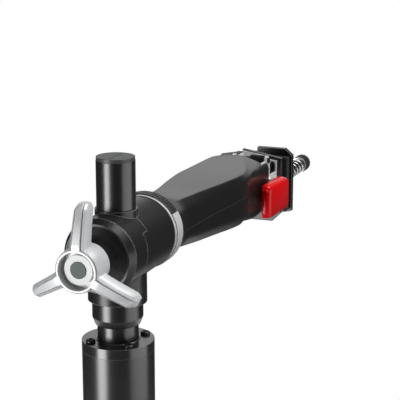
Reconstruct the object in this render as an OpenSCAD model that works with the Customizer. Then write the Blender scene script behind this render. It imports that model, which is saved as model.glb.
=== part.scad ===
// Bicycle repair stand: floor plate, lift column, swivel head with a three-arm
// lock knob, and a clamp arm with a sliding ratchet jaw.
// Millimetres, +Z up. The origin is on the floor under the column; the arm runs along +X.

/* [Base] */
// Length of the floor plate along the arm
base_l = 560; // [480:10:700]
// Width of the floor plate
base_w = 520; // [460:10:640]
// Thickness of the floor plate
base_t = 10; // [8:1:16]
// Corner radius of the floor plate
base_corner_r = 40; // [25:1:60]
// Distance from the column to the rear edge of the plate
base_rear = 180; // [140:5:220]
// Spacing of the floor anchor holes along the arm
anchor_l = 240; // [180:5:260]
// Spacing of the floor anchor holes across the arm
anchor_w = 320; // [200:5:380]
// Radius of the floor anchor holes
anchor_r = 5.5; // [4:0.5:8]

/* [Column] */
// Height of the arm's axis above the floor with the lift down
axis_h = 850; // [820:10:950]
// Outer radius of the column tube and of its gland cap
column_r = 30; // [29:0.5:34]
// Wall of the column tube
column_wall = 3; // [2:0.25:3.5]
// Radius of the column's foot flange
flange_r = 75; // [68:1:90]
// Thickness of the foot flange
flange_t = 12; // [8:1:20]
// Height of the flange's collar above its disc
flange_collar_h = 30; // [20:1:50]
// Shank radius of the flange bolts
flange_bolt_r = 5; // [4:0.5:6]
// Drop from the arm's axis to the top of the gland cap
gland_drop = 78; // [76:1:90]
// Height of the gland cap's side
gland_h = 8.5; // [7:0.5:14]
// Shank radius of the gland screws
gland_screw_r = 2.2; // [1.5:0.1:2.5]

/* [Lift] */
// Outer radius of the lift tube
lift_r = 17; // [16.5:0.25:17.5]
// Wall of the lift tube
lift_wall = 2; // [1.5:0.25:2.5]
// Travel of the lift
lift_travel = 450; // [300:10:470]
// Least distance between the lift's two guides at full height
guide_span = 93.5; // [60:0.5:120]
// Height of the lower guide ring
lower_guide_h = 30; // [20:1:50]
// Outer radius of the gas strut's cylinder
strut_r = 11; // [9:0.5:12]
// Radius of the gas strut's rod
strut_rod_r = 5; // [4:0.5:6]

/* [Head] */
// Radius of the upright post
post_r = 16; // [15.5:0.25:16.5]
// Wall of the upright post
post_wall = 3; // [2:0.25:4]
// Height of the post above the arm's axis
post_top = 75; // [60:1:110]
// Radius of the head's barrel
barrel_r = 31.25; // [31:0.25:34]
// Distance from the post's axis back to the barrel's rear end
barrel_rear = 31; // [30:0.5:36]
// Distance from the post's axis forward to the barrel's front end
barrel_front = 48.5; // [46:0.5:60]
// Radius of the head's lower sleeve
sleeve_r = 24.25; // [23:0.25:27]
// Drop of the sleeve's rear half below the arm's axis
sleeve_rear_drop = 43.5; // [40:0.5:44]
// Drop of the sleeve's front half below the arm's axis
sleeve_front_drop = 45.5; // [44.5:0.5:50]
// Distance of the lower parting seam behind the post's axis
seam_back = 9; // [6:0.5:11]
// Height of the step in the parting seam above the arm's axis
seam_step_z = 16; // [12:0.5:20]
// Radius of the adapter cup under the sleeve
cup_r = 21; // [20.5:0.25:22]
// Drop of the adapter cup's cone below the arm's axis
cup_drop = 58; // [56:0.5:60]
// Length of the rear end cap
end_cap_l = 11; // [9:0.5:14]
// Radius of the head's joining bolts
head_bolt_r = 2.5; // [2:0.25:3]

/* [Knob] */
// Reach of the knob's arms from the axis
knob_reach = 51; // [42:1:60]
// Radius of the knob's hub
knob_hub_r = 17; // [16:0.5:20]
// Depth of the knob's hub along the axis
knob_depth = 26.5; // [24:0.5:30]
// Width of a knob arm's body
knob_arm_w = 14; // [11:0.5:18]
// Width of the rib on a knob arm's front
knob_rib_w = 6.6; // [4:0.2:9]
// Backward sweep of the arms at their tips
knob_sweep = 8; // [0:0.5:12]
// Radius of the draw bolt through the head
draw_bolt_r = 6; // [5:0.25:6.5]

/* [Arm] */
// Radius of the arm's spindle in the head
spindle_r = 20; // [17:0.5:21]
// Radius of the friction ring at the barrel's front
ring_r = 31.7; // [31:0.1:34]
// Thickness of the friction ring
ring_t = 3.3; // [2:0.1:5]
// Radius of the ribbed arm collar
collar_r = 33; // [32:0.25:36]
// Length of the ribbed arm collar
collar_l = 12; // [10:0.5:18]
// Distance from the post's axis to the end of the lower arm shell
shell_end = 232; // [215:1:250]
// Distance from the post's axis to the front end of the top shell
cover_end = 316; // [306:1:326]
// Wall of the arm's shells
shell_wall = 2.5; // [2:0.25:3.5]
// Half width of the steel beam inside the arm
beam_half_w = 14; // [11:0.5:15]
// Height of the steel beam inside the arm
beam_h = 20; // [16:0.5:22]
// Wall of the steel beam
beam_wall = 3; // [2:0.25:4]

/* [Clamp] */
// Distance from the post's axis to the middle of a clamped tube
clamp_x = 397; // [390:1:420]
// Drop of the jaws' middle below the arm's axis
clamp_drop = 36; // [34:0.5:40]
// Gap between the jaw pads' edges at rest
jaw_gap = 28; // [24:0.5:32]
// Depth of the V groove in the pads
pad_v = 5; // [2:0.5:6]
// Thickness of the jaw pads
jaw_pad_t = 9; // [8:0.5:12]
// Thickness of the fixed jaw plate
fixed_t = 5; // [4:0.5:8]
// Thickness of the movable jaw plate
movable_t = 7; // [6:0.5:9]
// Half width of the steel bracket that carries the fixed jaw
bracket_half_w = 19; // [18:0.5:20]
// Thickness of the bracket's plates
bracket_t = 2.5; // [2:0.25:3.5]
// Opening travel of the movable jaw from rest
jaw_open = 30; // [20:1:32]
// Closing travel of the movable jaw from rest
jaw_close = 8; // [4:0.5:10]
// Thickness of the slide rail
rail_t = 8; // [6:0.5:10]
// Height of the slide rail
rail_h = 23; // [20:0.5:26]
// Pitch of the ratchet teeth on the rail
tooth_pitch = 4; // [3:0.5:6]
// Depth of the ratchet teeth on the rail
tooth_depth = 1.4; // [0.8:0.1:2]
// Thickness of the yoke in front of the movable jaw
yoke_t = 12; // [9:0.5:16]
// Free travel of the movable jaw on the adjuster, each way
adjust_travel = 3; // [2:0.25:3.25]

/* [Adjuster] */
// Radius of the adjuster screw
screw_r = 5; // [4:0.25:5.5]
// Free length of the adjuster spring
spring_l = 65; // [50:1:80]
// Radius of the adjuster spring at the middle of its wire
spring_r = 7.4; // [7:0.1:8]
// Radius of the spring's wire
wire_r = 1; // [0.6:0.1:1.1]
// Number of curls in the adjuster spring
spring_turns = 6; // [5:1:12]
// Radius of the adjuster knob
adjuster_r = 10; // [9:0.5:14]
// Length of the adjuster knob
adjuster_l = 18; // [16:1:32]

/* [Release paddle] */
// Length of the red release paddle
paddle_l = 60; // [50:1:66]
// Height of the paddle at its rear end
paddle_h = 36; // [30:0.5:42]
// Thickness of the paddle
paddle_t = 9.5; // [7:0.5:12]
// Gap between the bracket and the paddle's inner face
paddle_gap = 9.5; // [8.5:0.5:11]
// Corner radius of the paddle
paddle_corner = 6; // [3:0.5:9]
// Radius of the paddle's hinge pin
paddle_pin_r = 2.5; // [2:0.25:3]

/* [Hidden] */
$fn = 64;
hull_fn = 32;
run_fit = 0.05;
slip_fit = 0.1;
gap = 0.3;
over = 1;

// Base and column heights
plate_top = base_t;
flange_top = plate_top + flange_t;
base_front = base_l - base_rear;
base_mid = (base_front - base_rear) / 2;
flange_pcd_r = (column_r + 10 + flange_r) / 2;
flange_collar_r = column_r + 10;
bolt_head_h = 1.3 * flange_bolt_r;
gland_top = axis_h - gland_drop;
column_top = gland_top - gland_h;
column_in_r = column_r - column_wall;
top_ring_h = 24;
bush_out_r = lift_r + 3.4;
bush_h = 40;
gland_pcd_r = (bush_out_r + column_in_r) / 2 + 0.3;
gland_head_r = gland_screw_r * 1.8;
gland_head_h = gland_screw_r * 1.1;
wiper_r = lift_r + 1.4;
wiper_seat = 3;
wiper_lip = 2;

// Lift and strut
lift_bottom = column_top - bush_h - guide_span - lift_travel - lower_guide_h;
lift_top = axis_h - cup_drop + 8;
lift_in_r = lift_r - lift_wall;
strut_bore_r = strut_r - 2;
strut_bottom = lift_bottom + 30;
strut_top = axis_h - 150;
strut_end_t = 12;
strut_head = strut_top - strut_end_t - 6;
strut_foot_r = strut_rod_r + 7;
strut_foot_h = 14;
piston_h = 14;

// Head
cup_top = axis_h - sleeve_rear_drop;
cup_cone_h = 6.3;
cup_bore = 60;
spigot_drop = 110;
spigot_r = lift_in_r - run_fit;
post_in_r = post_r - post_wall;
seat_step = 0.25;
seat_r = post_r - seat_step;
cap_t = 3;
cap_spigot_h = 12;
cap_line_w = 0.8;
cap_line_d = 0.6;
boss_r = post_r + 1.5;
boss_top = barrel_r + 1.5;
bush_r = spindle_r + 4;
spindle_start = post_r + 3;
head_bolt_y = post_r + head_bolt_r + 3.4;
head_bolt_z = 9;
head_bolt_end = post_r - 2;
bolt_hole_r = draw_bolt_r + 1;
end_cap_x = -barrel_rear - end_cap_l;
washer_t = 7;
knob_back = end_cap_x - washer_t - gap;
knob_front = knob_back - knob_depth;
knob_recess_r = knob_hub_r - 2;
knob_recess_d = 8.5;
knob_swell = 1.5;
knob_rim_t = 0.7;
knob_cone_l = 6;
knob_band_l = 11.5;
knob_chamfer = 3.3;
insert_r = draw_bolt_r + 3;
plug_cap_r = draw_bolt_r + 0.75;
knob_arm_depth = 15.3;
knob_tip_depth = 15.5;

// Arm
ring_x = barrel_front;
collar_x = ring_x + ring_t + gap;
collar_end = collar_x + collar_l;
collar_ribs = 60;
rib_r = 0.6;
spindle_flange_r = collar_r - 4;
spindle_rim_r = collar_r - 0.5;
collar_half_angle = 58;
bolt_bite = 29;
tongue_l = 50;
beam_x = collar_end + 6;
beam_end = shell_end + 62;
beam_top = 8;
beam_bottom = beam_top - beam_h;
split_z = -6;
shell_start = collar_end;

// Arm sections, each X and then half width and height of four corners from top to bottom;
// two last numbers are other half widths of the upper corners on the paddle's side
neck_x = shell_start + 26;
waist_x = neck_x + 42;
flare_x = shell_end - 60;
wide_x = shell_end - 25;
cover_x = shell_end + 18;
arm_sections = [
    [shell_start, 13, 29, 30, 12, 30, -12, 13, -29],
    [neck_x, 16.8, 19.5, 25, 11, 26, -13, 17, -24],
    [waist_x, 19.8, 17.4, 26, 10, 28, -17, 19.5, -29],
    [flare_x, 26, 16.6, 30.5, 9, 31, -20.5, 22, -32.5],
    [wide_x, 30, 15.9, 34, 8, 33.5, -23.5, 24, -36],
    [shell_end - 6, 30, 15.5, 34, 8, 34, -25.5, 24, -38],
    [cover_x, 30, 15, 33.6, 8, 33, -26.5, 24, -40, 24.5, 31],
    [cover_x + 24, 30, 14.6, 33, 8, 32.5, -27, 24, -41, 15.8, 27.5],
    [beam_end, 30, 14.2, 32.6, 7.5, 32, -28, 22, -42, 7.8, 23.6],
    [cover_end - 13, 29.5, 14, 31.5, 7, 31, -28, 20, -42, 4, 22.6],
    [cover_end, 21, 13.7, 23, 6.4, 22, -28, 18, -42, 0, 21],
];
nose_end = beam_end + 37;
nose_sections = [
    [shell_end, 29, 9, 32, 3, 31.5, -25.5, 22, -36.5],
    [shell_end + 30, 25, 9, 26, 3, 26, -30, 20, -41.5],
    [beam_end, 20.5, 5.8, 22.8, 1, 22.8, -32, 20, -47],
    [nose_end, 20, 5.4, 22.6, 0.6, 22.6, -31, 20, -46],
];
nose_hollow_side = 8;
nose_hollow_drop = 30;
nose_end_t = 6;
shell_screw_x = [shell_start + 40, wide_x - 30];
shell_screw_r = 2;
screw_seat = 4;
function arm_bottom(x) = lookup(x, [for (a = arm_sections) [a[0], a[8]]]);

// Clamp positions
fixed_face = clamp_x - jaw_gap / 2;
fixed_x = fixed_face - jaw_pad_t - fixed_t;
movable_face = clamp_x + jaw_gap / 2;
movable_x = movable_face + jaw_pad_t;
movable_end = movable_x + movable_t;
nut_boss_l = 4.5;
nut_boss_r = screw_r + 4;
yoke_x = movable_end + nut_boss_l + adjust_travel + 0.5;
yoke_end = yoke_x + yoke_t;
jaw_half_h = 36;
jaw_near = 20;
jaw_far = 22;
fixed_near = 23.5;
fixed_far = 19.5;
pad_half_h = 30;
pad_groove = 12;
bracket_rear = beam_end;
bracket_top = 6;
bracket_bottom = -42;
roller_x = bracket_rear + 43;
roller_r = 5;
ear_r = 5;
wall_cut = bracket_rear + 50;
wall_low = -12;
slot_y = -14.5;
slot_half = 3;
slot_top = -4.5;
slot_low = -17;
guide_gap = 6;
rail_near = bracket_half_w + guide_gap;
rail_far = rail_near + rail_t;
rail_top = -8;
rail_bottom = rail_top - rail_h;
rail_mid = rail_top - 7.5;
guide_bolt_r = 3.5;
guide_x2 = fixed_x - 8.5;
guide_x1 = guide_x2 - 11;
rail_slot_x1 = guide_x1 - jaw_open - guide_bolt_r - 1;
rail_slot_x2 = guide_x2 + jaw_close + guide_bolt_r + 1;
rail_rear = rail_slot_x1 - 7;
rail_slot_half = guide_bolt_r + run_fit;
guide_head_r = guide_bolt_r + 1.8;
guide_head_h = 4;
hood_top = 7;
hood_reach = 17;
yoke_top = -3;
tooth_top = rail_bottom + 7;
pawl_x = bracket_rear + 26;
pawl_y = 8;
pawl_pin_r = 2.5;
pawl_t = 5.5;
pawl_z = rail_bottom + 0.8;
pawl_tip_x = pawl_x + 19;
pin_pos_y = 12;
guide_pin_r = 3;
guide_pin_z = [-jaw_half_h + 16, jaw_half_h - 16];
yoke_screw_r = 2.5;
yoke_screw_bite = 8;
yoke_screw_z = [rail_bottom + 4, rail_bottom + 12];

// Adjuster
spring_x = yoke_end;
washer_x = spring_x + spring_l;
thrust_t = 2;
adjuster_x = washer_x + thrust_t + gap;
screw_tip = movable_x + 1.5;
curl_rings = 8;
wire_sides = 6;
ring_count = spring_turns * curl_rings;
spring_pitch = (spring_l - 4 * wire_r) / spring_turns;
adjuster_ribs = 20;

// Paddle
paddle_rear = bracket_rear - 6;
paddle_front = paddle_rear + paddle_l;
paddle_in = -bracket_half_w - paddle_gap;
paddle_out = paddle_in - paddle_t;
paddle_bottom = -45;
paddle_top = paddle_bottom + paddle_h;
paddle_slope = 1.5;
paddle_pin_x = paddle_front - 8;
paddle_pin_y = paddle_in + paddle_gap / 2;
paddle_boss_r = paddle_pin_r + 2;
lug_t = 4;
lug_high = -17;
lug_low = -36;

// Shared shapes

// Lifts a shape from the arm's axis to its height above the floor
module at_axis() { translate([0, 0, axis_h]) children(); }

// Cylinder along X between two stations
module x_rod(x1, x2, r) { translate([x1, 0, 0]) rotate([0, 90, 0]) cylinder(h = x2 - x1, r = r); }

// Cylinder along Y between two stations
module y_rod(y1, y2, r) { translate([0, y1, 0]) rotate([-90, 0, 0]) cylinder(h = y2 - y1, r = r); }

// Upright tube between two heights
module z_tube(z1, z2, r_out, r_in) {
    translate([0, 0, z1]) difference() {
        cylinder(h = z2 - z1, r = r_out);
        translate([0, 0, -over]) cylinder(h = z2 - z1 + 2 * over, r = r_in);
    }
}

// Tube along X between two stations
module x_tube(x1, x2, r_out, r_in) {
    difference() {
        x_rod(x1, x2, r_out);
        x_rod(x1 - over, x2 + over, r_in);
    }
}

// Box between two corners
module block(a, b) { translate(a) cube(b - a); }

// Flat plate square to X, cut to an outline in Y and Z
module x_plate(x1, x2, outline) {
    translate([x1, 0, 0]) rotate([90, 0, 90]) linear_extrude(x2 - x1) polygon(outline);
}

// Rectangle with round corners, centred
module round_rect(l, w, r) {
    square([l - 2 * r, w], center = true);
    square([l, w - 2 * r], center = true);
    for (sx = [-1, 1], sy = [-1, 1]) translate([sx * (l / 2 - r), sy * (w / 2 - r)]) circle(r);
}

// Children at the four floor anchors
module at_anchors() {
    for (x = [-1, 1], y = [-1, 1]) translate([x * anchor_l / 2, y * anchor_w / 2, 0]) children();
}

// Children at equal steps round the column
module round_column(count, r, first = 0) {
    for (i = [0 : count - 1]) rotate(first + i * 360 / count) translate([r, 0, 0]) children();
}

// Socket head screw: head upwards from Z 0, shank downwards
module socket_screw(r, shank, head_r, head_h) {
    difference() {
        union() {
            translate([0, 0, -shank]) cylinder(h = shank, r = r);
            cylinder(h = head_h, r = head_r);
        }
        translate([0, 0, head_h / 2]) cylinder(h = head_h, r = head_r * 0.55, $fn = 6);
    }
}

// Skin through a list of sections that have equally many points
function loft_sides(m, n) = [
    for (i = [0 : m - 2], j = [0 : n - 1]) each [
        [i * n + j, (i + 1) * n + (j + 1) % n, i * n + (j + 1) % n],
        [i * n + j, (i + 1) * n + j, (i + 1) * n + (j + 1) % n],
    ]
];
function loft_ends(m, n) = [
    for (j = [1 : n - 2]) each [
        [0, j, j + 1],
        [(m - 1) * n, (m - 1) * n + j + 1, (m - 1) * n + j],
    ]
];
module loft(sections) {
    m = len(sections);
    n = len(sections[0]);
    polyhedron([for (s = sections) each s], concat(loft_sides(m, n), loft_ends(m, n)));
}

// Eight points of an arm section, drawn in by a wall
function near_top(s) = len(s) > 9 ? s[9] : s[1];
function near_high(s) = len(s) > 9 ? s[10] : s[3];
function arm_points(s, wall) = [
    [s[0], s[1] - wall * 0.6, s[2] - wall], [s[0], -near_top(s) + wall * 0.6, s[2] - wall],
    [s[0], -near_high(s) + wall, s[4] - wall * 0.4], [s[0], -s[5] + wall, s[6] + wall * 0.4],
    [s[0], -s[7] + wall * 0.6, s[8] + wall], [s[0], s[7] - wall * 0.6, s[8] + wall],
    [s[0], s[5] - wall, s[6] + wall * 0.4], [s[0], s[3] - wall, s[4] - wall * 0.4],
];
function grown(s, dx) = concat(s[0] + dx, [for (i = [1 : len(s) - 1]) s[i]]);

// Hollow arm skin, open at both ends
module arm_skin(sections) {
    last = len(sections) - 1;
    inner = [for (i = [0 : last]) grown(sections[i], i == 0 ? -over : i == last ? over : 0)];
    difference() {
        loft([for (s = sections) arm_points(s, 0)]);
        loft([for (s = inner) arm_points(s, shell_wall)]);
    }
}

// Base

module base_plate() {
    color([0.06, 0.06, 0.065]) difference() {
        translate([base_mid, 0, 0]) linear_extrude(base_t) round_rect(base_l, base_w, base_corner_r);
        translate([0, 0, -over]) {
            at_anchors() cylinder(h = base_t + 2 * over, r = anchor_r);
            round_column(4, flange_pcd_r, 45)
                cylinder(h = base_t + 2 * over, r = flange_bolt_r + slip_fit);
        }
    }
}

module column_flange() {
    color([0.06, 0.06, 0.065]) translate([0, 0, plate_top]) difference() {
        union() {
            cylinder(h = flange_t, r = flange_r);
            cylinder(h = flange_t + flange_collar_h, r = flange_collar_r);
        }
        translate([0, 0, -over])
            cylinder(h = flange_t + flange_collar_h + 2 * over, r = column_r + run_fit);
        translate([0, 0, -over]) round_column(4, flange_pcd_r, 45)
            cylinder(h = flange_t + 2 * over, r = flange_bolt_r + slip_fit);
    }
}

module flange_bolts() {
    shank = flange_t + base_t - 1;
    color([0.7, 0.71, 0.72]) translate([0, 0, flange_top]) round_column(4, flange_pcd_r, 45) {
        translate([0, 0, -shank]) cylinder(h = shank, r = flange_bolt_r);
        cylinder(h = bolt_head_h, r = flange_bolt_r * 1.8, $fn = 6);
    }
}

module column_tube() {
    color([0.05, 0.05, 0.055]) z_tube(plate_top, column_top, column_r, column_in_r);
}

module column_top_ring() {
    color([0.6, 0.61, 0.62]) difference() {
        z_tube(column_top - top_ring_h, column_top, column_in_r - run_fit, bush_out_r + run_fit);
        translate([0, 0, column_top]) round_column(4, gland_pcd_r, 45)
            cylinder(h = 4 * top_ring_h, r = gland_screw_r + run_fit, center = true);
    }
}

module gland_cap() {
    color([0.08, 0.08, 0.085]) difference() {
        z_tube(column_top, gland_top, column_r, lift_r + gap);
        translate([0, 0, gland_top - wiper_seat]) cylinder(h = gland_h, r = wiper_r + run_fit);
        translate([0, 0, column_top - over]) round_column(4, gland_pcd_r, 45)
            cylinder(h = gland_h + 2 * over, r = gland_screw_r + slip_fit);
    }
}

module gland_screws() {
    color([0.3, 0.3, 0.31]) translate([0, 0, gland_top]) round_column(4, gland_pcd_r, 45)
        socket_screw(gland_screw_r, gland_h + top_ring_h - 4, gland_head_r, gland_head_h);
}

module guide_bush() {
    color([0.85, 0.84, 0.8]) z_tube(column_top - bush_h, column_top, bush_out_r, lift_r + run_fit);
}

module wiper_seal() {
    color([0.03, 0.03, 0.03])
        z_tube(gland_top - wiper_seat, gland_top + wiper_lip, wiper_r, lift_r + run_fit);
}

// Lift

module strut_rod() {
    foot = plate_top + strut_foot_h / 2;
    color([0.8, 0.81, 0.82]) {
        translate([0, 0, foot]) cylinder(h = strut_head - foot, r = strut_rod_r);
        translate([0, 0, strut_head - piston_h]) cylinder(h = piston_h, r = strut_bore_r - run_fit);
    }
}

module strut_foot() {
    color([0.4, 0.4, 0.41]) translate([0, 0, plate_top]) difference() {
        cylinder(h = strut_foot_h, r = strut_foot_r);
        translate([0, 0, strut_foot_h / 2]) cylinder(h = strut_foot_h, r = strut_rod_r + run_fit);
    }
}

module lift_tube() {
    color([0.05, 0.05, 0.055]) z_tube(lift_bottom, lift_top, lift_r, lift_in_r);
}

module lower_guide() {
    color([0.85, 0.84, 0.8])
        z_tube(lift_bottom, lift_bottom + lower_guide_h, column_in_r - slip_fit, lift_r + run_fit);
}

module strut_cylinder() {
    color([0.05, 0.05, 0.055]) difference() {
        z_tube(strut_bottom, strut_top, strut_r, strut_rod_r + run_fit);
        translate([0, 0, strut_bottom + strut_end_t])
            cylinder(h = strut_top - strut_bottom - 2 * strut_end_t, r = strut_bore_r);
    }
}

module strut_plug() {
    low = strut_top - strut_end_t;
    color([0.4, 0.4, 0.41]) difference() {
        translate([0, 0, low]) cylinder(h = axis_h - spigot_drop - low, r = spigot_r);
        translate([0, 0, low - over]) cylinder(h = strut_end_t + over, r = strut_r + run_fit);
    }
}

// Head

module adapter_cup() {
    color([0.05, 0.05, 0.055]) difference() {
        at_axis() rotate_extrude() polygon([
            [0, -cup_drop - cup_cone_h], [lift_r + 1.5, -cup_drop - cup_cone_h], [cup_r, -cup_drop],
            [cup_r, -sleeve_rear_drop], [0, -sleeve_rear_drop],
        ]);
        translate([0, 0, lift_top - cup_bore]) cylinder(h = cup_bore, r = lift_r + run_fit);
        translate([0, 0, lift_top - over]) cylinder(h = cup_bore, r = seat_r + run_fit);
        translate([0, 0, axis_h - cup_drop + 3.5]) for (a = [0, 120]) rotate(a)
            x_rod(lift_r - over, cup_r + over, 2 + run_fit);
    }
}

module cup_screws() {
    color([0.25, 0.25, 0.26]) translate([0, 0, axis_h - cup_drop + 3.5]) for (a = [0, 120]) rotate(a)
        difference() {
            x_rod(lift_r + run_fit, cup_r - 0.3, 2);
            translate([cup_r - 1.8, 0, 0]) rotate([0, 90, 0]) cylinder(h = 3, r = 1.1, $fn = 6);
        }
}

module post() {
    color([0.04, 0.04, 0.045]) at_axis() difference() {
        union() {
            translate([0, 0, lift_top - axis_h])
                cylinder(h = post_top - cap_t - lift_top + axis_h, r = seat_r);
            translate([0, 0, boss_top]) cylinder(h = post_top - cap_t - boss_top, r = post_r);
            translate([0, 0, -spigot_drop]) cylinder(h = spigot_drop - 40, r = spigot_r);
        }
        translate([0, 0, -spigot_drop - over])
            cylinder(h = spigot_drop + post_top + 2 * over, r = post_in_r - 2);
        translate([0, 0, post_top - cap_t - cap_spigot_h - 2])
            cylinder(h = cap_spigot_h + 10, r = post_in_r);
        x_rod(-post_r - over, post_r + over, bolt_hole_r);
    }
}

module post_cap() {
    color([0.18, 0.185, 0.19]) at_axis() translate([0, 0, post_top - cap_t]) difference() {
        union() {
            cylinder(h = cap_t, r = seat_r);
            translate([0, 0, -cap_spigot_h]) cylinder(h = cap_spigot_h + 1, r = post_in_r - run_fit);
        }
        translate([-post_r * 0.8, -cap_line_w / 2, cap_t - cap_line_d])
            cube([post_r * 1.6, cap_line_w, cap_line_d + over]);
    }
}

// Outside of both head halves: barrel, sleeve and the boss round the post
module head_body() {
    x_rod(-barrel_rear, barrel_front, barrel_r);
    translate([0, 0, -sleeve_front_drop]) cylinder(h = sleeve_front_drop, r = sleeve_r);
    cylinder(h = boss_top, r = boss_r);
}

// Space behind the parting seam
module behind_seam() {
    far = 2 * barrel_front;
    block([-far, -far, -far], [-seam_back, far, seam_step_z]);
    block([-far, -far, seam_step_z], [0, far, far]);
}

// Bores that both head halves share
module head_bores() {
    translate([0, 0, -2 * sleeve_front_drop]) cylinder(h = 4 * barrel_front, r = seat_r + run_fit);
    translate([0, 0, -sleeve_front_drop - over])
        cylinder(h = sleeve_front_drop - sleeve_rear_drop + over + slip_fit, r = cup_r + slip_fit);
    x_rod(-barrel_rear - over, spindle_start, bolt_hole_r);
    x_rod(spindle_start - over, barrel_front + over, bush_r + run_fit);
    for (y = [-1, 1], z = [-1, 1]) translate([0, y * head_bolt_y, z * head_bolt_z]) {
        x_rod(-barrel_rear - over, head_bolt_end + over, head_bolt_r + slip_fit);
        x_rod(-barrel_rear - over, -barrel_rear + 6, head_bolt_r * 1.8 + slip_fit);
    }
}

module head_rear_half() {
    color([0.045, 0.045, 0.05]) at_axis() difference() {
        intersection() {
            head_body();
            behind_seam();
        }
        head_bores();
        translate([0, 0, -2 * sleeve_rear_drop]) cylinder(h = sleeve_rear_drop, r = 2 * sleeve_r);
    }
}

module head_front_half() {
    color([0.045, 0.045, 0.05]) at_axis() difference() {
        head_body();
        behind_seam();
        head_bores();
    }
}

module head_bolts() {
    color([0.5, 0.5, 0.51]) at_axis() for (y = [-1, 1], z = [-1, 1])
        translate([-barrel_rear + 6, y * head_bolt_y, z * head_bolt_z]) rotate([0, -90, 0])
            socket_screw(head_bolt_r, head_bolt_end + barrel_rear - 6, head_bolt_r * 1.8, 5);
}

module rear_end_cap() {
    rim = barrel_r - 3.6;
    color([0.05, 0.05, 0.055]) at_axis() rotate([0, -90, 0]) translate([0, 0, barrel_rear])
        rotate_extrude() polygon([
            [bolt_hole_r, 0], [barrel_r, 0], [barrel_r, 1.2], [rim, 6.5], [rim - 1.5, 6.3],
            [rim - 8.4, end_cap_l - 2.6], [bolt_hole_r + 6, end_cap_l], [bolt_hole_r, end_cap_l],
        ]);
}

module spindle_bush() {
    color([0.72, 0.58, 0.3]) at_axis()
        x_tube(spindle_start, barrel_front - slip_fit, bush_r, spindle_r + run_fit);
}

module friction_ring() {
    color([0.75, 0.76, 0.77]) at_axis() x_tube(ring_x, ring_x + ring_t, ring_r, spindle_r + run_fit);
}

module thrust_washer() {
    color([0.75, 0.76, 0.77]) at_axis()
        x_tube(end_cap_x - washer_t, end_cap_x, bolt_hole_r + 4, bolt_hole_r);
}

// Knob

// Section of one knob arm at a distance from the axis
function knob_section(r, w, rib, front, back) = [
    [front, rib / 2, r], [front, -rib / 2, r], [front + knob_chamfer, -w / 2, r],
    [back, -w / 2, r], [back, w / 2, r], [front + knob_chamfer, w / 2, r],
];

module knob_arm() {
    tip_w = knob_arm_w * 0.85;
    tip_front = knob_front + knob_sweep;
    root_front = knob_front + 0.4;
    loft([
        knob_section(knob_hub_r - 4, knob_arm_w, knob_rib_w + 0.5, root_front, root_front + knob_arm_depth),
        knob_section(knob_hub_r + 2, knob_arm_w, knob_rib_w + 0.5, root_front, root_front + knob_arm_depth),
        knob_section(knob_reach - 4, tip_w, knob_rib_w - 1, tip_front, tip_front + knob_tip_depth),
        knob_section(knob_reach, tip_w - 4, knob_rib_w - 3, tip_front + 5, tip_front + knob_tip_depth - 0.6),
    ]);
}

module tri_knob() {
    color([0.78, 0.79, 0.8]) at_axis() difference() {
        union() {
            x_rod(knob_front, knob_back, knob_hub_r);
            translate([knob_front + knob_rim_t, 0, 0]) rotate([0, 90, 0])
                cylinder(h = knob_cone_l, r1 = knob_hub_r, r2 = knob_hub_r + knob_swell);
            x_rod(knob_front + knob_rim_t + knob_cone_l - over,
                knob_front + knob_rim_t + knob_cone_l + knob_band_l, knob_hub_r + knob_swell);
            for (a = [0, 120, 240]) rotate([a, 0, 0]) knob_arm();
        }
        x_rod(knob_front - over, knob_back + over, insert_r + run_fit);
        x_rod(knob_front - over, knob_front + knob_recess_d, knob_recess_r);
    }
}

module knob_insert() {
    color([0.72, 0.58, 0.3]) at_axis()
        x_tube(knob_front + knob_recess_d + 2, knob_back, insert_r, draw_bolt_r + run_fit);
}

module knob_washer() {
    floor_x = knob_front + knob_recess_d;
    color([0.92, 0.92, 0.92]) at_axis()
        x_tube(floor_x - 3.7, floor_x, knob_recess_r - 3, plug_cap_r + run_fit);
}

module knob_plug() {
    color([0.25, 0.27, 0.27]) at_axis()
        x_rod(knob_front + knob_recess_d - 4.2, knob_front + knob_recess_d + 1.5, plug_cap_r);
}

// Arm

module arm_spindle() {
    tongue_half = beam_half_w - beam_wall - slip_fit;
    tongue_in = beam_wall + slip_fit;
    color([0.62, 0.63, 0.64]) at_axis() difference() {
        union() {
            x_rod(spindle_start, collar_end, spindle_r);
            x_rod(collar_x, collar_end, spindle_flange_r);
            difference() {
                x_rod(collar_x, collar_end, spindle_rim_r);
                collar_sector(slip_fit);
            }
            block([collar_end - over, -tongue_half, beam_bottom + tongue_in],
                [beam_x + tongue_l, tongue_half, beam_top - tongue_in]);
        }
        x_rod(spindle_start - over, spindle_start + bolt_bite + over, draw_bolt_r + run_fit);
    }
}

module draw_bolt() {
    color([0.7, 0.71, 0.72]) at_axis()
        x_rod(knob_front + knob_recess_d + 2.5, spindle_start + bolt_bite, draw_bolt_r);
}

// Wedge over the arm's axis that the ribbed collar fills, widened by a clearance
module collar_sector(clear) {
    far = 2 * collar_r;
    side = far * tan(collar_half_angle);
    x_plate(collar_x - over, collar_end + over, [[0, -clear], [side, far - clear], [-side, far - clear]]);
}

module arm_collar() {
    color([0.06, 0.06, 0.065]) at_axis() intersection() {
        collar_sector(0);
        collar_ring();
    }
}

// Whole ribbed ring, from which the collar is a sector
module collar_ring() {
    difference() {
        union() {
            x_rod(collar_x, collar_end, collar_r - rib_r);
            for (i = [0 : collar_ribs - 1]) rotate([i * 360 / collar_ribs, 0, 0])
                translate([0, 0, collar_r - 2 * rib_r]) block([collar_x + 1, -rib_r, 0],
                    [collar_end - 1, rib_r, 2 * rib_r]);
        }
        x_rod(collar_x - over, collar_end + over, spindle_flange_r + run_fit);
    }
}

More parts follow.
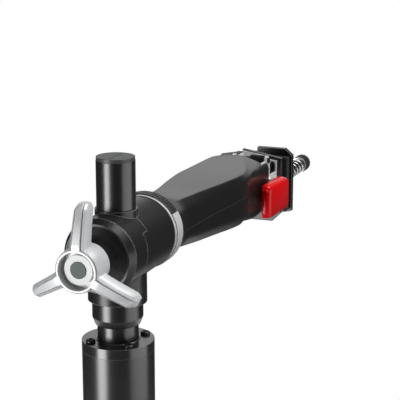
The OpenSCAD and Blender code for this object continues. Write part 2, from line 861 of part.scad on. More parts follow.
module arm_beam() {
    color([0.3, 0.3, 0.31]) at_axis() difference() {
        block([beam_x, -beam_half_w, beam_bottom], [beam_end, beam_half_w, beam_top]);
        block([beam_x - over, -beam_half_w + beam_wall, beam_bottom + beam_wall],
            [beam_end + over, beam_half_w - beam_wall, beam_top - beam_wall]);
        for (x = shell_screw_x) translate([x, 0, beam_bottom - over])
            cylinder(h = beam_wall + 2 * over, r = shell_screw_r + run_fit);
    }
}

module arm_top_shell() {
    far = 2 * cover_end;
    color([0.1, 0.1, 0.105]) at_axis() difference() {
        arm_skin(arm_sections);
        block([0, -far, -far], [shell_end + over, far, split_z]);
        block([shell_end, -far, -far], [beam_end, far, nose_sections[0][2] + slip_fit]);
        block([beam_end - over, -far, -far], [far, far, bracket_top + slip_fit]);
    }
}

module arm_lower_shell() {
    far = 2 * cover_end;
    color([0.07, 0.07, 0.075]) at_axis() difference() {
        union() {
            difference() {
                arm_skin(arm_sections);
                block([0, -far, split_z], [far, far, far]);
                block([shell_end, -far, -far], [far, far, far]);
            }
            for (x = shell_screw_x) translate([x, 0, arm_bottom(x) + 1])
                cylinder(h = beam_bottom - arm_bottom(x) - 1, r = 2 * shell_screw_r + 2);
        }
        for (x = shell_screw_x) translate([x, 0, arm_bottom(x) - over]) {
            cylinder(h = beam_bottom - arm_bottom(x) + 2 * over, r = shell_screw_r + slip_fit);
            cylinder(h = screw_seat + over, r = 2 * shell_screw_r + slip_fit);
        }
    }
}

module arm_nose() {
    color([0.05, 0.05, 0.055]) at_axis() difference() {
        loft([for (s = nose_sections) arm_points(s, 0)]);
        block([beam_end, -bracket_half_w - slip_fit, bracket_bottom - over],
            [nose_end + over, bracket_half_w + slip_fit, bracket_top + over]);
        block([shell_end - over, -beam_half_w - slip_fit, beam_bottom - slip_fit],
            [beam_end + over, beam_half_w + slip_fit, beam_top + slip_fit]);
        block([shell_end - over, -beam_half_w - nose_hollow_side, -nose_hollow_drop],
            [beam_end - nose_end_t, beam_half_w + nose_hollow_side, beam_bottom - beam_wall]);
    }
}

module shell_screws() {
    color([0.3, 0.3, 0.31]) at_axis() for (x = shell_screw_x)
        translate([x, 0, arm_bottom(x) + screw_seat]) rotate([180, 0, 0])
            socket_screw(shell_screw_r, beam_bottom + beam_wall - arm_bottom(x) - screw_seat,
                2 * shell_screw_r, 2);
}

// Clamp

module jaw_bracket() {
    front = fixed_x;
    half = bracket_half_w;
    color([0.82, 0.83, 0.84]) at_axis() difference() {
        union() {
            block([bracket_rear, half - bracket_t, bracket_bottom], [front, half, bracket_top]);
            block([bracket_rear, -half, bracket_bottom], [wall_cut, -half + bracket_t, bracket_top]);
            block([wall_cut - over, -half, bracket_bottom], [front, -half + bracket_t, wall_low]);
            block([bracket_rear, -half, bracket_bottom], [bracket_rear + bracket_t, half, bracket_top]);
            x_plate(front - bracket_t, front, [
                [half, bracket_top + 2], [-8, bracket_top - 2], [-10, bracket_top - 5.2],
                [-half, bracket_top - 6.6], [-half, bracket_bottom], [half, bracket_bottom],
            ]);
            for (y = [-half, half - bracket_t]) translate([roller_x, 0, bracket_top])
                y_rod(y, y + bracket_t, ear_r);
            for (z = [lug_high, lug_low - lug_t]) block([paddle_pin_x - 6, paddle_pin_y - 3.2, z],
                [paddle_pin_x + 6, -half, z + lug_t]);
        }
        translate([roller_x, 0, bracket_top]) y_rod(-half - over, half + over, roller_r - 2 + run_fit);
        for (z = [slot_low, slot_top]) translate([0, slot_y, z])
            x_rod(front - bracket_t - over, front + over, slot_half);
        block([front - bracket_t - over, slot_y - slot_half, slot_low],
            [front + over, slot_y + slot_half, slot_top]);
        block([front - bracket_t - over, -7, -6], [front + over, 8.5, 2.2]);
        translate([paddle_pin_x, paddle_pin_y, lug_low - lug_t - over])
            cylinder(h = lug_high - lug_low + 2 * lug_t + 2 * over, r = paddle_pin_r + run_fit);
        block([pawl_x + 3, half - bracket_t - over, pawl_z - 2],
            [pawl_tip_x + 6, half + over, pawl_z + pawl_t + 2]);
        for (x = [guide_x1, guide_x2]) translate([x, 0, rail_mid])
            y_rod(half - bracket_t - over, half + over, guide_bolt_r + slip_fit);
    }
}

module bracket_roller() {
    color([0.12, 0.12, 0.125]) at_axis() translate([roller_x, 0, bracket_top]) {
        y_rod(-bracket_half_w + bracket_t + gap, -1, roller_r);
        y_rod(-bracket_half_w - 1.5, bracket_half_w + 1.5, roller_r - 2);
    }
}

module fixed_jaw() {
    color([0.06, 0.06, 0.065]) at_axis() x_plate(fixed_x, fixed_x + fixed_t, [
        [fixed_far, 9.5], [-fixed_near, 2], [-fixed_near, -clamp_drop - jaw_half_h + 14],
        [-fixed_near + 9, -clamp_drop - jaw_half_h + 5], [fixed_far, -clamp_drop - jaw_half_h + 5],
    ]);
}

// Pad outline seen from above, with the groove towards +X
module pad_outline(depth, near, far) {
    polygon([
        [0, -near], [depth, -near], [depth, -pad_groove], [depth - pad_v, 0],
        [depth, pad_groove], [depth, far], [0, far],
    ]);
}

module fixed_jaw_pad() {
    color([0.03, 0.03, 0.03]) at_axis()
        translate([fixed_x + fixed_t, 0, -clamp_drop - pad_half_h + 3]) linear_extrude(2 * pad_half_h)
            pad_outline(jaw_pad_t, jaw_near - 2.5, fixed_far - 1.5);
}

module rail_guide_block() {
    hood_rear = guide_x1 - 6;
    far = bracket_half_w + hood_reach;
    color([0.1, 0.1, 0.105]) at_axis() difference() {
        union() {
            block([hood_rear, bracket_half_w, rail_mid - 7], [fixed_x, rail_near - slip_fit, hood_top]);
            translate([0, 0, rail_top + gap]) linear_extrude(hood_top - rail_top - gap) polygon([
                [hood_rear, bracket_half_w], [fixed_x, bracket_half_w], [fixed_x, bracket_half_w + 3],
                [hood_rear + 8, far], [hood_rear + 3, far], [hood_rear, far - 3],
            ]);
        }
        for (x = [guide_x1, guide_x2]) translate([x, 0, rail_mid])
            y_rod(bracket_half_w - over, rail_near + over, guide_bolt_r + slip_fit);
    }
}

module guide_bolts() {
    color([0.6, 0.61, 0.62]) at_axis() for (x = [guide_x1, guide_x2]) translate([x, 0, rail_mid]) {
        y_rod(bracket_half_w - bracket_t - 5, rail_far + gap + guide_head_h, guide_bolt_r);
        y_rod(rail_far + gap, rail_far + gap + guide_head_h, guide_head_r);
        y_rod(bracket_half_w - bracket_t - 4, bracket_half_w - bracket_t, guide_head_r);
    }
}

module paddle_pin() {
    color([0.7, 0.71, 0.72]) at_axis() translate([paddle_pin_x, paddle_pin_y, lug_low - lug_t])
        cylinder(h = lug_high - lug_low + 2 * lug_t, r = paddle_pin_r);
}

module paddle_spring() {
    color([0.6, 0.61, 0.62]) at_axis() translate([paddle_pin_x, paddle_pin_y, lug_low])
        z_tube(0, 4, paddle_pin_r + 1.6, paddle_pin_r + run_fit);
}

module pawl_bridge() {
    inside = bracket_half_w - bracket_t;
    color([0.6, 0.61, 0.62]) at_axis() difference() {
        block([pawl_x - 6, -inside, bracket_bottom + 4], [pawl_x + 6, inside, bracket_bottom + 10]);
        translate([pawl_x, pawl_y, bracket_bottom])
            cylinder(h = 12, r = pawl_pin_r + run_fit);
    }
}

module pawl_pin() {
    color([0.7, 0.71, 0.72]) at_axis() translate([pawl_x, pawl_y, bracket_bottom + 4])
        cylinder(h = pawl_z + pawl_t - bracket_bottom - 4, r = pawl_pin_r);
}

module pawl() {
    tip_y = rail_near - gap;
    color([0.55, 0.56, 0.57]) at_axis() translate([0, 0, pawl_z]) difference() {
        union() {
            translate([pawl_x, pawl_y, 0]) cylinder(h = pawl_t, r = pawl_pin_r + 3);
            linear_extrude(pawl_t) polygon([
                [pawl_x - 2, pawl_y + 4], [pawl_x + 2, pawl_y - 4], [pawl_tip_x + 3, tip_y - 6],
                [pawl_tip_x, tip_y], [pawl_tip_x - 1.5, tip_y - 4],
            ]);
        }
        translate([pawl_x, pawl_y, -over]) cylinder(h = pawl_t + 2 * over, r = pawl_pin_r + run_fit);
    }
}

module slide_rail() {
    count = floor((guide_x2 + jaw_close - rail_slot_x1) / tooth_pitch);
    end_r = rail_h / 2;
    color([0.05, 0.05, 0.055]) at_axis() difference() {
        union() {
            block([rail_rear + end_r, rail_near, rail_bottom], [yoke_end, rail_far, rail_top]);
            translate([rail_rear + end_r, 0, rail_top - end_r]) y_rod(rail_near, rail_far, end_r);
        }
        for (x = [rail_slot_x1, rail_slot_x2]) translate([x, 0, rail_mid])
            y_rod(rail_near - over, rail_far + over, rail_slot_half);
        block([rail_slot_x1, rail_near - over, rail_mid - rail_slot_half],
            [rail_slot_x2, rail_far + over, rail_mid + rail_slot_half]);
        translate([0, 0, rail_bottom - over]) linear_extrude(tooth_top - rail_bottom + over)
            for (i = [0 : count - 1]) translate([pawl_tip_x + (i - 9) * tooth_pitch, rail_near]) polygon([
                [-0.8, -0.1], [-0.8, tooth_depth], [tooth_pitch - 1.2, -0.1],
            ]);
        for (z = yoke_screw_z) translate([yoke_x + yoke_t / 2, 0, z])
            y_rod(rail_near - over, rail_far + over, yoke_screw_r + slip_fit);
    }
}

module rail_yoke() {
    low = -clamp_drop - jaw_half_h + 6;
    color([0.06, 0.06, 0.065]) at_axis() difference() {
        x_plate(yoke_x, yoke_end, [
            [rail_near, yoke_top], [pin_pos_y - 4, yoke_top - 2], [-jaw_near + 12, yoke_top - 5],
            [-jaw_near + 9, yoke_top - 9],
            [-jaw_near + 9, low], [jaw_far - 4, low], [rail_near, rail_bottom],
        ]);
        translate([0, 0, -clamp_drop]) x_rod(yoke_x - over, yoke_end + over, screw_r + run_fit);
        for (z = guide_pin_z) translate([0, pin_pos_y, z - clamp_drop])
            x_rod(yoke_x - over, yoke_end + over, guide_pin_r + run_fit);
        for (z = yoke_screw_z) translate([yoke_x + yoke_t / 2, 0, z])
            y_rod(rail_near - yoke_screw_bite - over, rail_near + over, yoke_screw_r + run_fit);
    }
}

module yoke_screws() {
    color([0.3, 0.3, 0.31]) at_axis() for (z = yoke_screw_z)
        translate([yoke_x + yoke_t / 2, rail_far, z]) rotate([-90, 0, 0])
            socket_screw(yoke_screw_r, rail_t + yoke_screw_bite, yoke_screw_r * 1.7, 2.5);
}

// Adjuster

// Point of the spring's centre line: a straight end, the curls and another straight end
function spring_point(i) =
    let (turn = (i - 1) / curl_rings, a = 360 * turn,
         x = i == 0 ? 0 : i == ring_count + 2 ? spring_l : 2 * wire_r + spring_pitch * turn,
         angle = i == 0 ? 0 : i == ring_count + 2 ? 360 * spring_turns : a)
    [x, spring_r * cos(angle), spring_r * sin(angle)];
spring_path = [for (i = [0 : ring_count + 2]) spring_point(i)];

// Direction of the wire at a ring; the two ends point along the spring
function unit(v) = v / norm(v);
function spring_dir(i) =
    i <= 0 || i >= ring_count + 2 ? [1, 0, 0] : unit(spring_path[i + 1] - spring_path[i - 1]);
function wire_ring(i) =
    let (p = spring_path[i], d = spring_dir(i), out = unit([0, p[1], p[2]]), side = unit(cross(d, out)),
         lift = cross(side, d))
    [for (k = [0 : wire_sides - 1]) let (a = k * 360 / wire_sides)
        p + wire_r * (cos(a) * lift + sin(a) * side)];
last_curl = ring_count + 1;
function near_end(i) = min(i + curl_rings + 2, last_curl);
spring_gap = min([
    for (i = [1 : last_curl - curl_rings], j = [i + curl_rings - 2 : near_end(i)])
        norm(spring_path[i] - spring_path[j])
]) - 2 * wire_r;
echo(spring_least_gap_mm = spring_gap);  // adjuster_spring

module adjuster_spring() {
    color([0.78, 0.79, 0.8]) at_axis() translate([spring_x, 0, -clamp_drop])
        loft([for (i = [0 : ring_count + 2]) wire_ring(i)]);
}

module adjuster_washer() {
    color([0.75, 0.76, 0.77]) at_axis() translate([0, 0, -clamp_drop])
        x_tube(washer_x, washer_x + thrust_t, spring_r + wire_r + 0.7, screw_r + run_fit);
}

module movable_jaw() {
    jaw_high = -clamp_drop + jaw_half_h + 2;
    jaw_low = -clamp_drop - jaw_half_h + 2.5;
    color([0.06, 0.06, 0.065]) at_axis() difference() {
        union() {
            x_plate(movable_x, movable_end, [
                [jaw_far - 2, jaw_high], [-jaw_near + 8.5, jaw_high], [-jaw_near, jaw_high - 7],
                [-jaw_near, jaw_low + 2], [-jaw_near + 8, jaw_low], [jaw_far - 2, jaw_low],
            ]);
            translate([0, 0, -clamp_drop]) x_rod(movable_end - over, movable_end + nut_boss_l, nut_boss_r);
        }
        translate([0, 0, -clamp_drop])
            x_rod(movable_x - over, movable_end + nut_boss_l + over, screw_r + run_fit);
        for (z = guide_pin_z) translate([0, pin_pos_y, z - clamp_drop])
            x_rod(movable_x + 2, movable_end + over, guide_pin_r + run_fit);
    }
}

module movable_jaw_pad() {
    color([0.03, 0.03, 0.03]) at_axis() difference() {
        translate([movable_x, 0, -clamp_drop - pad_half_h]) linear_extrude(2 * pad_half_h)
            mirror([1, 0]) pad_outline(jaw_pad_t, jaw_near - 2.5, jaw_far - 4);
        translate([0, 0, -clamp_drop]) x_rod(movable_x - 2.5, movable_x + over, screw_r + 1);
    }
}

module jaw_guide_pins() {
    color([0.7, 0.71, 0.72]) at_axis() for (z = guide_pin_z) translate([0, pin_pos_y, z - clamp_drop])
        x_rod(movable_x + 2, yoke_end + adjust_travel + 2, guide_pin_r);
}

module adjuster_screw() {
    color([0.7, 0.71, 0.72]) at_axis() translate([0, 0, -clamp_drop])
        x_rod(screw_tip, adjuster_x + adjuster_l - 6, screw_r);
}

module adjuster_knob() {
    color([0.1, 0.1, 0.105]) at_axis() translate([0, 0, -clamp_drop]) difference() {
        union() {
            x_rod(adjuster_x, adjuster_x + adjuster_l, adjuster_r - 0.6);
            for (i = [0 : adjuster_ribs - 1]) rotate([i * 360 / adjuster_ribs, 0, 0])
                block([adjuster_x + 5, -0.9, adjuster_r - 2],
                    [adjuster_x + adjuster_l - 2, 0.9, adjuster_r]);
        }
        x_rod(adjuster_x - over, adjuster_x + adjuster_l - 6, screw_r + run_fit);
    }
}

// Release paddle

module release_paddle() {
    c = paddle_corner;
    color([0.78, 0.02, 0.03]) at_axis() difference() {
        union() {
            hull() for (p = [
                [paddle_rear + c, paddle_bottom + c], [paddle_rear + c, paddle_top - c],
                [paddle_front - c, paddle_bottom + c], [paddle_front - c, paddle_top - paddle_slope - c],
            ]) translate([p[0], 0, p[1]]) {
                y_rod(paddle_out + 2, paddle_in, c, $fn = hull_fn);
                y_rod(paddle_out, paddle_in, c - 2, $fn = hull_fn);
            }
            translate([paddle_pin_x, paddle_pin_y, lug_low + 4 + gap])
                cylinder(h = lug_high - lug_low - 4 - 2 * gap, r = paddle_boss_r);
            block([paddle_pin_x - 3, paddle_in - over, lug_low + 4 + gap],
                [paddle_pin_x + 3, paddle_pin_y, lug_high - gap]);
        }
        translate([paddle_pin_x, paddle_pin_y, lug_low - over])
            cylinder(h = lug_high - lug_low + 2 * over, r = paddle_pin_r + run_fit);
    }
}

base_plate();
column_flange();
flange_bolts();
column_tube();
column_top_ring();
gland_cap();
gland_screws();
guide_bush();
wiper_seal();
strut_rod();
strut_foot();
lift_tube();
lower_guide();
strut_cylinder();
strut_plug();
adapter_cup();
cup_screws();
post();
post_cap();
head_rear_half();
head_front_half();
head_bolts();
rear_end_cap();
spindle_bush();
friction_ring();
thrust_washer();
tri_knob();
knob_insert();
knob_washer();
knob_plug();
arm_spindle();
draw_bolt();
arm_collar();
arm_beam();
arm_top_shell();
arm_lower_shell();
arm_nose();
shell_screws();
jaw_bracket();
bracket_roller();
fixed_jaw();
fixed_jaw_pad();
rail_guide_block();
guide_bolts();
paddle_pin();
paddle_spring();
pawl_bridge();
pawl_pin();
slide_rail();
rail_yoke();
yoke_screws();
adjuster_spring();
adjuster_washer();
movable_jaw();
movable_jaw_pad();
jaw_guide_pins();
adjuster_screw();
adjuster_knob();
release_paddle();
pawl();
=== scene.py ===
# %% [markdown]
# # A bicycle repair stand, dressed for the camera
# The stand is black all over: painted tubes, a powder-coated head, moulded arm shells. Black shows its
# shape only through what it mirrors, so this lesson spends its effort on rounded edges, fine surface
# grain and the placing of a few soft lamps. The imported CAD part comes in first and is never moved.

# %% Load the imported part
import math

import bmesh
import bpy
import numpy as np
from mathutils import Matrix, Vector


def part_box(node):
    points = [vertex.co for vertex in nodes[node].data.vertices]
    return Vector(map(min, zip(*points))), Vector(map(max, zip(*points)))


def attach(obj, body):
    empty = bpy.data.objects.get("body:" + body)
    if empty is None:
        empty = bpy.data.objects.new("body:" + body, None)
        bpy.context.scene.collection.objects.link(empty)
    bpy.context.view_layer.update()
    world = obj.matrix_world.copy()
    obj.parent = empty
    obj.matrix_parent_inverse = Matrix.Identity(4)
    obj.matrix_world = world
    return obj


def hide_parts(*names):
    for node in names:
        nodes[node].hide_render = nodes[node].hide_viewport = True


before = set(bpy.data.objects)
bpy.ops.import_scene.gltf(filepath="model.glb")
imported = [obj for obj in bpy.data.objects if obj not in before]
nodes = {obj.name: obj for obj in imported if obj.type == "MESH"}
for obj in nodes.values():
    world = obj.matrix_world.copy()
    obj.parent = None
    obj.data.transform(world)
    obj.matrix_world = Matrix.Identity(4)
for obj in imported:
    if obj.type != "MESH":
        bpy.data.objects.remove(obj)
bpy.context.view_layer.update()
MM = 0.001
AXIS_H = 0.850
JAW_DROP = 0.036
print("CAD nodes:", len(nodes))

# %% [markdown]
# ## The camera
# The photograph was taken from behind the knob, a little above it and to its left, with a long lens. The
# numbers come from fitting a camera to the round edges of the head, so they are used as they are. The
# lens is worked out from the focal length in pixels, with a picture 400 pixels wide.

# %% Camera
PICTURE_PX = 400
FOCAL_PX = 1310
EYE = Vector((-0.9315, -0.4269, 1.1384))
LOOK = Vector((0.9079, 0.3458, -0.2370))
SENSOR_MM = 36

camera_data = bpy.data.cameras.new("photo_camera")
camera_data.sensor_width = SENSOR_MM
camera_data.lens = FOCAL_PX / PICTURE_PX * SENSOR_MM
camera = bpy.data.objects.new("photo_camera", camera_data)
camera.location = EYE
camera.rotation_euler = LOOK.to_track_quat("-Z", "Y").to_euler()
bpy.context.collection.objects.link(camera)
bpy.context.scene.camera = camera
print("lens", round(camera_data.lens, 1), "mm")

# %% [markdown]
# ## Shader maths as plain arithmetic
# A finish is a small tree of nodes. Linking them by hand hides the idea, so one class wraps a socket and
# turns + - * / into Math nodes. A second class holds a material and adds any other node in one call.


# %% Shader helpers
class Value:
    """A number that varies over a surface: arithmetic on it adds Math nodes."""

    def __init__(self, finish, socket):
        self.finish = finish
        self.socket = socket

    def _math(self, operation, first, second):
        return self.finish.node("ShaderNodeMath", {"operation": operation}, {0: first, 1: second})

    def __add__(self, other):
        return self._math("ADD", self, other)

    def __sub__(self, other):
        return self._math("SUBTRACT", self, other)

    def __rsub__(self, other):
        return self._math("SUBTRACT", other, self)

    def __mul__(self, other):
        return self._math("MULTIPLY", self, other)

    def above(self, low, high):
        """0 below low, 1 above high and a smooth step between them."""
        return self.finish.node(
            "ShaderNodeMapRange",
            {"interpolation_type": "SMOOTHSTEP"},
            {"Value": self, "From Min": low, "From Max": high},
        )

    __radd__ = __add__
    __rmul__ = __mul__


class Nodes:
    """A node tree, with one method that adds any node."""

    def __init__(self, tree):
        self.tree = tree

    def node(self, kind, settings=None, inputs=None, output=0):
        made = self.tree.nodes.new(kind)
        for key, value in (settings or {}).items():
            setattr(made, key, value)
        for key, value in (inputs or {}).items():
            self.join(made.inputs[key], value)
        return Value(self, made.outputs[output])

    def join(self, socket, value):
        if isinstance(value, Value):
            self.tree.links.new(value.socket, socket)
        else:
            socket.default_value = value


class Finish(Nodes):
    """A material with one Principled shader and the nodes that every finish here uses."""

    def __init__(self, name):
        self.material = bpy.data.materials.new(name)
        self.material.use_nodes = True
        super().__init__(self.material.node_tree)
        self.shader = self.tree.nodes["Principled BSDF"]
        self.place = self.node("ShaderNodeTexCoord", None, None, "Object")

    def noise(self, scale, detail=2.0, roughness=0.5):
        settings = {"Vector": self.place, "Scale": scale, "Detail": detail, "Roughness": roughness}
        return self.node("ShaderNodeTexNoise", None, settings)

    def mix(self, factor, low, high):
        mixed = self.tree.nodes.new("ShaderNodeMix")
        mixed.data_type = "RGBA"
        self.join(mixed.inputs["Factor"], factor)
        self.join(mixed.inputs["A"], low)
        self.join(mixed.inputs["B"], high)
        return Value(self, mixed.outputs["Result"])

    def round_edges(self, radius):
        """The surface's normal, turned near an edge as if the edge were rounded."""
        return self.node("ShaderNodeBevel", {"samples": 6}, {"Radius": radius})

    def edges(self, rounded):
        """1 along sharp edges and 0 elsewhere."""
        flat = self.node("ShaderNodeNewGeometry", None, None, "Normal")
        across = {"operation": "DOT_PRODUCT"}
        same = self.node("ShaderNodeVectorMath", across, {0: rounded, 1: flat}, "Value")
        return (1 - same).above(0.004, 0.16)

    def bump(self, height, depth, rounded):
        inputs = {"Height": height, "Distance": depth, "Strength": 1.0, "Normal": rounded}
        return self.node("ShaderNodeBump", None, inputs)

    def set(self, **sockets):
        for key, value in sockets.items():
            self.join(self.shader.inputs[key.replace("_", " ")], value)
        return self


def rgb(r, g, b):
    return (r, g, b, 1.0)


# %% [markdown]
# ## Finishes
# Paint, powder coat and moulded plastic are all black here, and they differ in grain and gloss. Wet paint
# flows out into a faint orange peel about 2 mm across. Powder coat keeps a finer, rougher grain. Moulded
# plastic copies the spark-eroded texture of its tool. Each finish below gets its grain as bump, a slow
# change of tone, and edges that are rounded in the shader and made lighter: in rubbed patches as wear,
# and, where a finish asks for it, along every edge as a painted highlight.


# %% Black finishes
def black_finish(name, tone, gloss, grain, depth, edge_wear_and_highlight_tone, edge_radius=0.7 * MM, coat=0.0, painted_highlight_share=0.0):
    f = Finish(name)
    rounded = f.round_edges(edge_radius)
    cloud = f.noise(9, 3)
    speck = f.noise(grain, 2, 0.55)
    # Edges turn lighter in noise patches as wear, and by a set share along every edge as a painted
    # highlight.
    worn_and_lit_edges = f.edges(rounded) * (painted_highlight_share + (1 - painted_highlight_share) * f.noise(160, 3).above(0.42, 0.72))
    low = rgb(tone * 0.8, tone * 0.8, tone * 0.85)
    high = rgb(tone * 1.25, tone * 1.27, tone * 1.3)
    body = f.mix(cloud, low, high)
    f.set(
        Base_Color=f.mix(worn_and_lit_edges * 0.6, body, rgb(edge_wear_and_highlight_tone, edge_wear_and_highlight_tone, edge_wear_and_highlight_tone)),
        Roughness=gloss + 0.08 * (cloud - 0.5) + 0.06 * (speck - 0.5) + 0.1 * worn_and_lit_edges,
        Normal=f.bump(speck, depth, rounded),
    )
    f.shader.inputs["Coat Weight"].default_value = coat
    f.shader.inputs["Coat Roughness"].default_value = 0.28
    return f.material


tube_paint = black_finish("gloss_black_tube_paint", 0.006, 0.30, 520, 0.00001, 0.05, coat=0.8)
plate_paint = black_finish("textured_black_plate_paint", 0.014, 0.42, 1500, 0.00006, 0.06, 1.5 * MM)
# The gland paint, powder coat and shell finishes lighten every edge as a painted highlight, which shows as
# pale seams and rims on the head, gland and shells.
gland_paint = black_finish("gloss_black_gland_paint", 0.012, 0.20, 520, 0.00001, 0.4, 0.6 * MM, 0.8, 0.8)
casting_coat = black_finish("satin_black_powder_coat", 0.013, 0.31, 1700, 0.00001, 0.6, 0.9 * MM, 0.0, 0.8)
shell_plastic = black_finish("moulded_black_shell", 0.010, 0.29, 2600, 0.000012, 0.28, 0.7 * MM, 0.0, 0.6)
dark_plastic = black_finish("moulded_dark_knob", 0.022, 0.45, 2200, 0.00002, 0.08, 0.5 * MM)
oxide_steel = black_finish("black_oxide_steel", 0.045, 0.34, 1400, 0.00001, 0.16, 0.35 * MM)
oxide_steel.node_tree.nodes["Principled BSDF"].inputs["Metallic"].default_value = 0.7
pad_rubber = black_finish("black_rubber", 0.018, 0.72, 1100, 0.00003, 0.03, 0.6 * MM)
print("black finishes made")

# %% [markdown]
# Bare metal needs less: a fine drawn grain for zinc-plated steel, and a soft blasted one for the cast
# knob. The casting is a satin silver coat, so part of what it shows is plain diffuse light. That is set
# with a metallic value under one.


# %% Metal and plain plastic finishes
def metal_finish(name, tone, gloss, metallic, stretch, grain, depth, edge_radius):
    f = Finish(name)
    rounded = f.round_edges(edge_radius)
    drawn = f.node("ShaderNodeMapping", None, {"Vector": f.place, "Scale": stretch})
    grain_map = f.node("ShaderNodeTexNoise", None, {"Vector": drawn, "Scale": grain, "Detail": 3.0})
    cloud = f.noise(30, 3)
    low = rgb(*[c * 0.9 for c in tone])
    high = rgb(*[min(c * 1.06, 0.95) for c in tone])
    f.set(
        Base_Color=f.mix(0.6 * cloud + 0.4 * grain_map, low, high),
        Roughness=gloss + 0.12 * (grain_map - 0.5) + 0.08 * (cloud - 0.5),
        Normal=f.bump(grain_map, depth, rounded),
        Metallic=metallic,
    )
    return f.material


def plain_plastic(name, tone, gloss, coat):
    f = Finish(name)
    rounded = f.round_edges(0.6 * MM)
    cloud = f.noise(22, 3)
    speck = f.noise(1500, 2)
    low = rgb(*[c * 0.92 for c in tone])
    high = rgb(*[min(c * 1.08, 0.95) for c in tone])
    f.set(
        Base_Color=f.mix(cloud, low, high),
        Roughness=gloss + 0.06 * (speck - 0.5) + 0.05 * (cloud - 0.5),
        Normal=f.bump(speck, 0.000006, rounded),
        Coat_Weight=coat,
    )
    return f.material


EVEN = (1, 1, 1)
zinc_steel = metal_finish(
    "bright_zinc_steel", (0.74, 0.75, 0.76), 0.30, 0.85, (40, 40, 400), 3, 0.000004, 0.4 * MM)
silver_casting = metal_finish(
    "satin_silver_casting", (0.68, 0.69, 0.70), 0.36, 0.18, EVEN, 900, 0.00001, 0.3 * MM)
bracket_zinc = metal_finish(
    "pale_bracket_zinc", (0.86, 0.86, 0.86), 0.45, 0.3, EVEN, 1200, 0.000004, 0.4 * MM)
spring_wire = metal_finish(
    "bright_spring_wire", (0.72, 0.73, 0.74), 0.26, 0.9, EVEN, 1200, 0.000003, 0.2 * MM)
bronze = metal_finish(
    "turned_bronze", (0.62, 0.42, 0.20), 0.34, 1.0, (400, 40, 40), 3, 0.000004, 0.3 * MM)
cap_plastic = plain_plastic("grey_cap_plastic", (0.055, 0.058, 0.058), 0.42, 0.0)
plug_plastic = plain_plastic("grey_plug_plastic", (0.12, 0.145, 0.135), 0.65, 0.0)
washer_plastic = plain_plastic("white_washer_plastic", (0.80, 0.80, 0.80), 0.4, 0.0)
bush_plastic = plain_plastic("white_bush_plastic", (0.72, 0.70, 0.64), 0.5, 0.0)
paddle_red = plain_plastic("gloss_red_plastic", (0.72, 0.001, 0.004), 0.26, 0.06)
paddle_red.node_tree.nodes["Principled BSDF"].inputs["Specular IOR Level"].default_value = 0.25
print("metal and plastic finishes made")

# %% [markdown]
# Every CAD node gets its finish by name. A node that keeps its CAD shape still needs rounded edges, and
# the finishes bring those along in their normals.

# %% Finishes on the CAD nodes
FINISH_OF = {
    tube_paint: ["column_tube", "lift_tube", "post", "adapter_cup", "strut_cylinder"],
    gland_paint: ["gland_cap"],
    plate_paint: ["base_plate", "column_flange"],
    casting_coat: ["head_rear_half", "head_front_half", "rear_end_cap", "fixed_jaw", "movable_jaw",
                   "slide_rail", "rail_yoke"],
    shell_plastic: ["arm_top_shell", "arm_lower_shell", "arm_nose", "arm_collar"],
    dark_plastic: ["adjuster_knob", "rail_guide_block"],
    oxide_steel: ["gland_screws", "cup_screws", "head_bolts", "shell_screws", "yoke_screws", "arm_beam",
                  "pawl", "bracket_roller", "strut_foot", "strut_plug", "adjuster_screw"],
    pad_rubber: ["fixed_jaw_pad", "movable_jaw_pad", "wiper_seal"],
    silver_casting: ["tri_knob", "arm_spindle", "friction_ring"],
    bracket_zinc: ["jaw_bracket"],
    spring_wire: ["adjuster_spring", "paddle_spring"],
    bronze: ["spindle_bush", "knob_insert"],
    cap_plastic: ["post_cap"],
    plug_plastic: ["knob_plug"],
    washer_plastic: ["knob_washer"],
    bush_plastic: ["guide_bush", "lower_guide"],
    paddle_red: ["release_paddle"],
}
for material, names in FINISH_OF.items():
    for name in names:
        nodes[name].data.materials.clear()
        nodes[name].data.materials.append(material)
dressed = {name for names in FINISH_OF.values() for name in names}
for name in sorted(set(nodes) - dressed):
    nodes[name].data.materials.clear()
    nodes[name].data.materials.append(zinc_steel)
print("zinc on:", ", ".join(sorted(set(nodes) - dressed)))

# %% [markdown]
# ## Mesh helpers
# Three shapes cover most of the new pieces: a lathe for turned parts, a stack of closed loops for
# moulded parts, and a tube along a path for wire. Each writes its points in the stand's own frame, so a
# finished piece sits at the origin as the CAD nodes do.


# %% Mesh helpers
SMOOTH_DEG = 38


def placed(name, data):
    """A new object in the scene that shows the data."""
    thing = bpy.data.objects.new(name, data)
    bpy.context.collection.objects.link(thing)
    return thing


def smoothed(mesh, smooth_deg=SMOOTH_DEG):
    """The mesh with smooth shading, broken at edges sharper than the angle."""
    mesh.shade_smooth()
    mesh.set_sharp_from_angle(angle=math.radians(smooth_deg))
    return mesh


def mm(pairs):
    """A profile of (along, radius) pairs, from millimetres to metres."""
    return [(along * MM, radius * MM) for along, radius in pairs]


def make_piece(name, mesh_points, faces, material, smooth_deg=SMOOTH_DEG):
    mesh = bpy.data.meshes.new(name)
    mesh.from_pydata([tuple(p) for p in mesh_points], [], faces)
    work = bmesh.new()
    work.from_mesh(mesh)
    bmesh.ops.remove_doubles(work, verts=work.verts, dist=1e-6)
    bmesh.ops.recalc_face_normals(work, faces=work.faces)
    work.to_mesh(mesh)
    work.free()
    mesh.materials.append(material)
    return placed(name, smoothed(mesh, smooth_deg))


def stack_of_loops(loops, closed_ends=True, ring=False):
    """Points and faces of a skin through loops that have equally many points."""
    count = len(loops[0])
    points = [p for loop in loops for p in loop]
    faces = []
    rows = len(loops) if ring else len(loops) - 1
    for i in range(rows):
        a = i * count
        b = (i + 1) % len(loops) * count
        for j in range(count):
            k = (j + 1) % count
            faces.append((a + j, a + k, b + k, b + j))
    if closed_ends and not ring:
        faces.append(tuple(range(count - 1, -1, -1)))
        faces.append(tuple((len(loops) - 1) * count + j for j in range(count)))
    return points, faces


